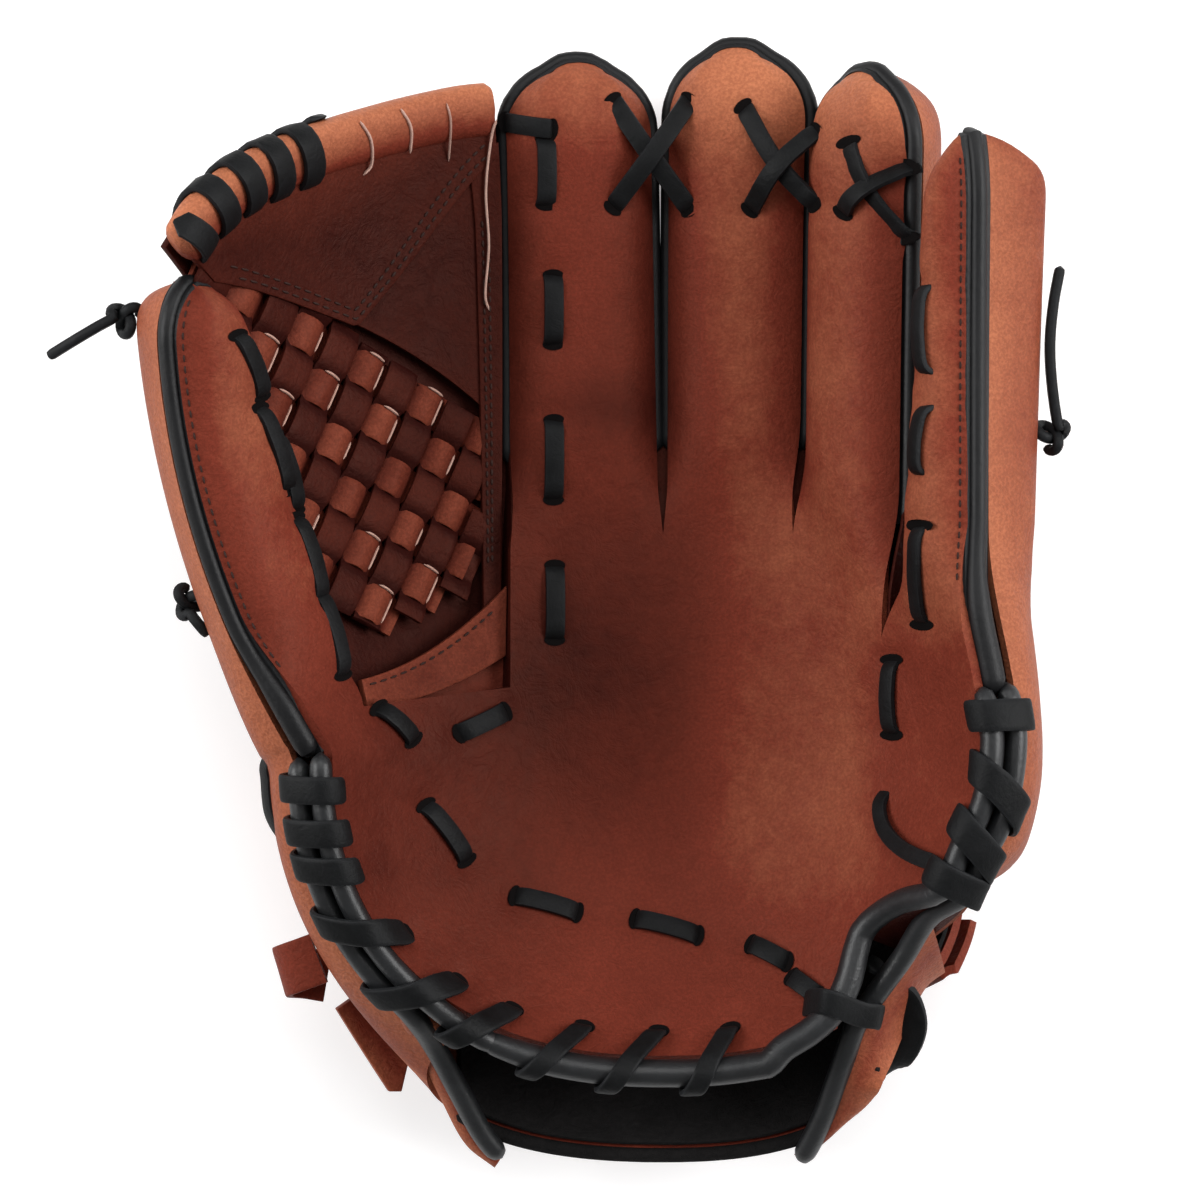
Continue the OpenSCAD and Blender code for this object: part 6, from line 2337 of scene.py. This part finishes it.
    def band(self) -> None:
        """Rolls the top band and winds its lace."""
        way = self.band_line(np.linspace(0, 1, 12))
        x, y = way.T
        core = LAST.at(x, y, -self.drop)
        path = smooth_path(core, 1.5)
        plan = path / MM - np.array(LAST.origin)
        lean = LAST.lean(plan[:, 0], plan[:, 1])
        along = unit(np.gradient(path, axis=0))
        flank = unit(np.cross(lean, along))
        made = swept("web_band_roll", path, flank, self.band_w, self.band_t, 2.5, 20, round_ends=3)
        body = points_of(made.data) / MM - np.array(LAST.origin)
        near = np.argmin(np.linalg.norm(body[:, None, :2] - plan[None, :, :2], axis=-1), axis=1)
        outward = np.einsum("ij,ij->i", body - plan[near], flank[near]) / (self.band_w / 2)
        set_wear_and_shading(made.data, 0.62 + 0.3 * np.clip(outward, -1, 1))
        dress(made, Follow.THUMB_FOLD, PALM_HIDE, ["web_top_band"])
        turns, n = self.lace_turns, len(path)
        a = np.linspace(0, 2 * np.pi * turns, 30 * turns + 1)
        share = a / (2 * np.pi)
        turn = share - np.floor(share)
        lead = (np.floor(share) + 0.25 * ease(turn / 0.5) + 0.75 * ease((turn - 0.5) / 0.5)) / turns
        at = (0.03 + 0.5 * lead) * (n - 1)
        core, side, up, run = (met(at, np.arange(n), v) for v in (path, flank, lean, along))
        wide, tall = (self.band_w / 2 + 1.2) * MM, (self.band_t / 2 + 1.3) * MM
        ring = core + side * (wide * np.cos(-a))[:, None] - up * (tall * np.sin(-a))[:, None]
        path, flank = smooth_with(ring, run, 1.4)
        lace = swept("web_band_winding", path, flank, self.lace_w, self.lace_t, FLAT_LACE, 12, round_ends=3)
        dress(lace, Follow.THUMB_FOLD, LACE_HIDE, ["web_band_lace"])


@dataclass(frozen=True)
class Lacing:
    """The stitches of flat lace on the pocket side, with their punched holes."""

    thick: float = 1.8
    curl_way: tuple[Plan, ...] = (
        (77.2, -50), (76.6, -55), (77.4, -60.5), (79.6, -64.5), (83, -67.4), (87, -69.2), (90, -70))
    curl_rise: tuple[float, ...] = (-2.5, 1.2, 2.0, 2.2, 2.4, 2.6, 1.6)
    hole_half: Plan = (1.6, 2.9)

    def build(self, fronts: Fronts) -> None:
        """Makes every lace run.

        Args:
            fronts: The leather the laces lie on.
        """
        for run in RUNS:
            parts = []
            for number, (a, b) in enumerate(run.stitches):
                lift = self.thick + 0.3 if run.stacked and number % 2 else 0.0
                parts.append(self.stitch(run, fronts, a, b, lift))
            dress(joined(run.name, parts), run.follow, LACE_HIDE, run.nodes)
            punched = holes_of([run])[4 if run.follow is Follow.PINKY_FOLD else 0:]
            holes = [self.hole(fronts, *hole) for hole in punched]
            dress(joined(run.name + "_holes", holes), run.follow, HOLE_SHADE)
        heel = Heel().holes()
        for name, holes, follow in (
            ("thumb_heel_holes", heel[:3], Follow.THUMB_FOLD),
            ("heel_holes", heel[3:], Follow.PALM),
        ):
            dress(joined(name, [self.hole(fronts, *hole) for hole in holes]), follow, HOLE_SHADE)
        self.curl(fronts)

    def curl(self, fronts: Fronts) -> None:
        """Curls the last lace of the little-finger crease round into the heel's winding.

        Args:
            fronts: The leather it lies on.
        """
        way = np.array(self.curl_way)
        x, y = way.T
        h = np.array([fronts.height(*point) for point in way]) + np.array(self.curl_rise)
        across = np.cross(LAST.lean(x, y), np.gradient(np.c_[way, 0 * x], axis=0))
        path, flank = smooth_with(LAST.at(x, y, h), across, 1.0)
        made = swept("crease_curl", path, unit(flank), 4.6, self.thick, 4.0, 12, round_ends=2)
        dress(made, Follow.PINKY_FOLD, LACE_HIDE)

    def stitch(self, run: LaceRun, fronts: Fronts, a: Plan, b: Plan, lift: float) -> Object:
        """Bends one stitch from hole to hole.

        Args:
            run: The lace run it belongs to.
            fronts: The leather it lies on.
            a: Where it comes up, in plan.
            b: Where it goes down.
            lift: How much higher its middle lies, where it crosses another stitch.

        Returns:
            The stitch.
        """
        k = np.array([0, 0.025, 0.07, 0.16, 0.3, 0.5, 0.7, 0.84, 0.93, 0.975, 1])
        half = [-3.0, -1.6, 0.3, 1.25, 1.0 + run.arch * 0.7]
        rise = np.array([*half, 1.0 + run.arch, *half[::-1]]) + lift * np.sin(np.pi * k)
        h = mix(fronts.height(*a), fronts.height(*b), k) + 0.6 + rise
        x, y = mix(a[0], b[0], k), mix(a[1], b[1], k)
        lean = LAST.lean(x, y)
        way = np.tile([b[0] - a[0], b[1] - a[1], 0.0], (len(k), 1))
        path, flank = smooth_with(LAST.at(x, y, h), unit(np.cross(lean, way)), 1.1)
        return swept(run.name, path, flank, run.width, self.thick, FLAT_LACE, 12)

    def hole(self, fronts: Fronts, x: float, y: float, turn: float) -> Object:
        """Lays the dark mouth of one punched hole into the leather: a flat disc painted with the shade inside the
        hole.

        Args:
            fronts: The leather it lies in.
            x: Its place across the glove, in plan.
            y: Its place from heel to tips.
            turn: The lace's direction in radians.

        Returns:
            The mouth.
        """
        clear_selection()
        bpy.ops.mesh.primitive_circle_add(vertices=18, radius=1, fill_type="NGON", location=(0, 0, 0))
        made = bpy.context.object
        flat = points_of(made.data)
        along, across = flat[:, 0] * self.hole_half[0], flat[:, 1] * self.hole_half[1]
        px = x + along * math.cos(turn) - across * math.sin(turn)
        py = y + along * math.sin(turn) + across * math.cos(turn)
        middle = fronts.height(x, y)
        h = np.clip([fronts.height(u, v) for u, v in zip(px, py)], middle - 0.7, middle + 0.7)
        set_points(made.data, LAST.at(px, py, h + 0.3))
        set_wear_and_shading(made.data, 0.0)
        return made


@dataclass(frozen=True)
class Knots:
    """The knotted lace ends on the thumb's back and the little finger's back."""

    radius: float = 4.2
    free_from: float = 30 * MM
    lace: Plan = (3.4, 3.0)
    cord_d: float = 3.2

    def lay(self, name: str, points: Array) -> tuple[Object, Array]:
        """Lays a length of lace through points in millimetres and returns it with its path."""
        path = smooth_path(points * MM, 0.8)
        return swept(name, path, np.array([0, 0, 1.0]), *self.lace, 2.6, 10, round_ends=1.5), path

    def knot(
        self, name: str, place: Array, tail: Sequence[float], follow: Follow, nodes: Sequence[str]
    ) -> None:
        """Ties one overhand knot with a stiff tail; a long tail is a free cord.

        Args:
            name: The knot's name.
            place: Its middle in the frame, in millimetres.
            tail: The way from there to the tail's end.
            follow: How it moves.
            nodes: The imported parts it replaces.
        """
        turn = math.atan2(tail[1], tail[0]) + math.radians(155)
        a = np.radians(np.linspace(30, 330, 21))
        u, v = np.sin(a) + 1.6 * np.sin(2 * a), np.cos(a) - 1.6 * np.cos(2 * a)
        c, s = math.cos(turn), math.sin(turn)
        loop = place + self.radius / 2.6 * np.stack([u * c - v * s, u * s + v * c, -1.3 * np.sin(3 * a)], -1)
        k = np.linspace(0.25, 1, 4)[:, None]
        free = np.linalg.norm(tail) * MM > self.free_from
        sag = np.array([-2.6 if free else 0, 0, 1.5])
        end = mix(loop[-1], place + np.array(tail), k) + sag * np.sin(np.pi * k)
        made, _ = self.lay(name, loop if free else np.vstack([loop, end]))
        dress(made, follow, LACE_HIDE, nodes)
        if free:
            loose, path = self.lay(name + "_tail", np.vstack([loop[-2:], end]))
            dress(loose, follow, LACE_HIDE)
            spots = [tuple(map(float, point)) for point in path]
            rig.cord(loose, exit=spots[0], length=float(run_of(path)[-1]), diameter=self.cord_d * MM,
                    far_end="bare", stiffness="stiff", lay="loose", path=spots)

    def build(self) -> None:
        """Ties the knots and lays the lace on the thumb's outer edge."""
        palm = CUT.palm_rows
        thumb, pinky = (CUT.thumb, CUT.thumb_back_h), (CUT.pinky, CUT.pinky_back_h)
        for name, (plan, back), s, j, drop, tail, follow, nodes in (
            ("thumb_lace_knot", thumb, -0.5, palm + 6.4, 3.7, (-21, -10, -4), Follow.THUMB_FOLD,
             ["thumb_knot"]),
            ("thumb_side_knot", thumb, -0.45, palm + 1.75, 3.2, (5, -9, 1), Follow.THUMB_FOLD, []),
            ("little_finger_lace_knot", pinky, 0.3, palm + 2.4, 4.4, (2, 45, 4), Follow.PINKY_FOLD,
             ["pinky_knot"]),
        ):
            s1, j1 = np.array([s]), np.array([j])
            place = LAST.at(*plan(0, s1, j1), back(0, s1, j1) - drop)[0] / MM
            self.knot(name, place, tail, follow, nodes)
        sunk = np.array([2.0, 0.2, -0.9, -1.1, -1.1, -1.1, -1.1, -0.9, 0.2, 2.0])
        j, s = np.linspace(5.5, 3.7, len(sunk)), np.full(len(sunk), -0.62)
        line = back_place(*thumb, 0, s, j, sunk)
        path, flank = smooth_with(line, np.tile([0.5, 0.2, 1.0], (len(sunk), 1)), 1.2)
        made = swept("thumb_side_lace", path, flank, 5.0, 1.8, 4.0, 12)
        dress(made, Follow.THUMB_FOLD, LACE_HIDE)


@dataclass(frozen=True)
class Studio:
    """Camera straight above the pocket, soft lights and a pale floor."""

    height: float = 1.46
    lens: float = 155.6
    floor: float = 3.0
    sensor: float = 36
    aim: Place = (0.0, 0.0, 0.04)
    lamps: tuple[tuple[str, Place, float, float], ...] = (
        ("window_left", (-1.25, 0.25, 0.75), 0.9, 20),
        ("window_right", (1.25, 0.2, 0.8), 0.9, 22),
        ("window_top", (0.1, 0.9, 1.5), 1.2, 14))
    paper: Colour = (0.86, 0.86, 0.86)
    paper_rough: float = 0.9
    paper_shine: float = 0.1
    glow: float = 0.3
    sky: float = 0.3

    def build(self) -> None:
        """Places camera, lights, floor and surroundings."""
        bpy.context.scene.view_settings.view_transform = "Standard"
        x, y = LAST.origin[0] * MM, LAST.origin[1] * MM
        clear_selection()
        bpy.ops.object.camera_add(location=(x, y, self.height), rotation=(0, 0, 0))
        camera = bpy.context.object
        camera.data.lens = self.lens
        camera.data.sensor_width = self.sensor
        bpy.context.scene.camera = camera
        for name, place, size, power in self.lamps:
            clear_selection()
            aim = Vector(self.aim) - Vector(place)
            turn = aim.to_track_quat("-Z", "Y").to_euler()
            bpy.ops.object.light_add(type="AREA", location=place, rotation=turn)
            light = bpy.context.object
            light.name = name
            light.data.size = size
            light.data.energy = power
        clear_selection()
        bpy.ops.mesh.primitive_plane_add(size=self.floor, location=(0, 0, 0))
        ground = bpy.context.object
        ground.name = "floor"
        paper = bpy.data.materials.new("paper")
        paper.use_nodes = True
        shader = paper.node_tree.nodes["Principled BSDF"]
        shader.inputs["Base Color"].default_value = (*self.paper, 1)
        shader.inputs["Roughness"].default_value = self.paper_rough
        shader.inputs["Specular IOR Level"].default_value = self.paper_shine
        seen = node(paper.node_tree, "LightPath").outputs["Is Camera Ray"]
        glow = maths(paper.node_tree, "MULTIPLY", seen, self.glow)
        paper.node_tree.links.new(glow, shader.inputs["Emission Strength"])
        shader.inputs["Emission Color"].default_value = (1, 1, 1, 1)
        ground.data.materials.append(paper)
        world = bpy.data.worlds.new("studio")
        bpy.context.scene.world = world
        world.use_nodes = True
        world.node_tree.nodes["Background"].inputs["Color"].default_value = (1, 1, 1, 1)
        world.node_tree.nodes["Background"].inputs["Strength"].default_value = self.sky
        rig.stage(ground)


def main() -> None:
    """Builds the glove over its frame and writes its sizes."""
    logging.basicConfig(level=logging.INFO, format="%(message)s")
    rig.load()
    size = {"cad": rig.bounds()}
    fronts = Fronts()
    fronts.build()
    Backs().build()
    Crotches().build()
    Welts().build()
    Padding().build()
    Heel().build()
    Wrist().build()
    Web().build()
    Lacing().build(fronts)
    Knots().build()
    RODS.discard()
    Studio().build()
    size["visual"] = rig.bounds()
    with open("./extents.json", "w", encoding="utf-8") as out:
        json.dump(size, out, default=lambda v: [float(x) for x in v])


if __name__ == "__main__":
    main()
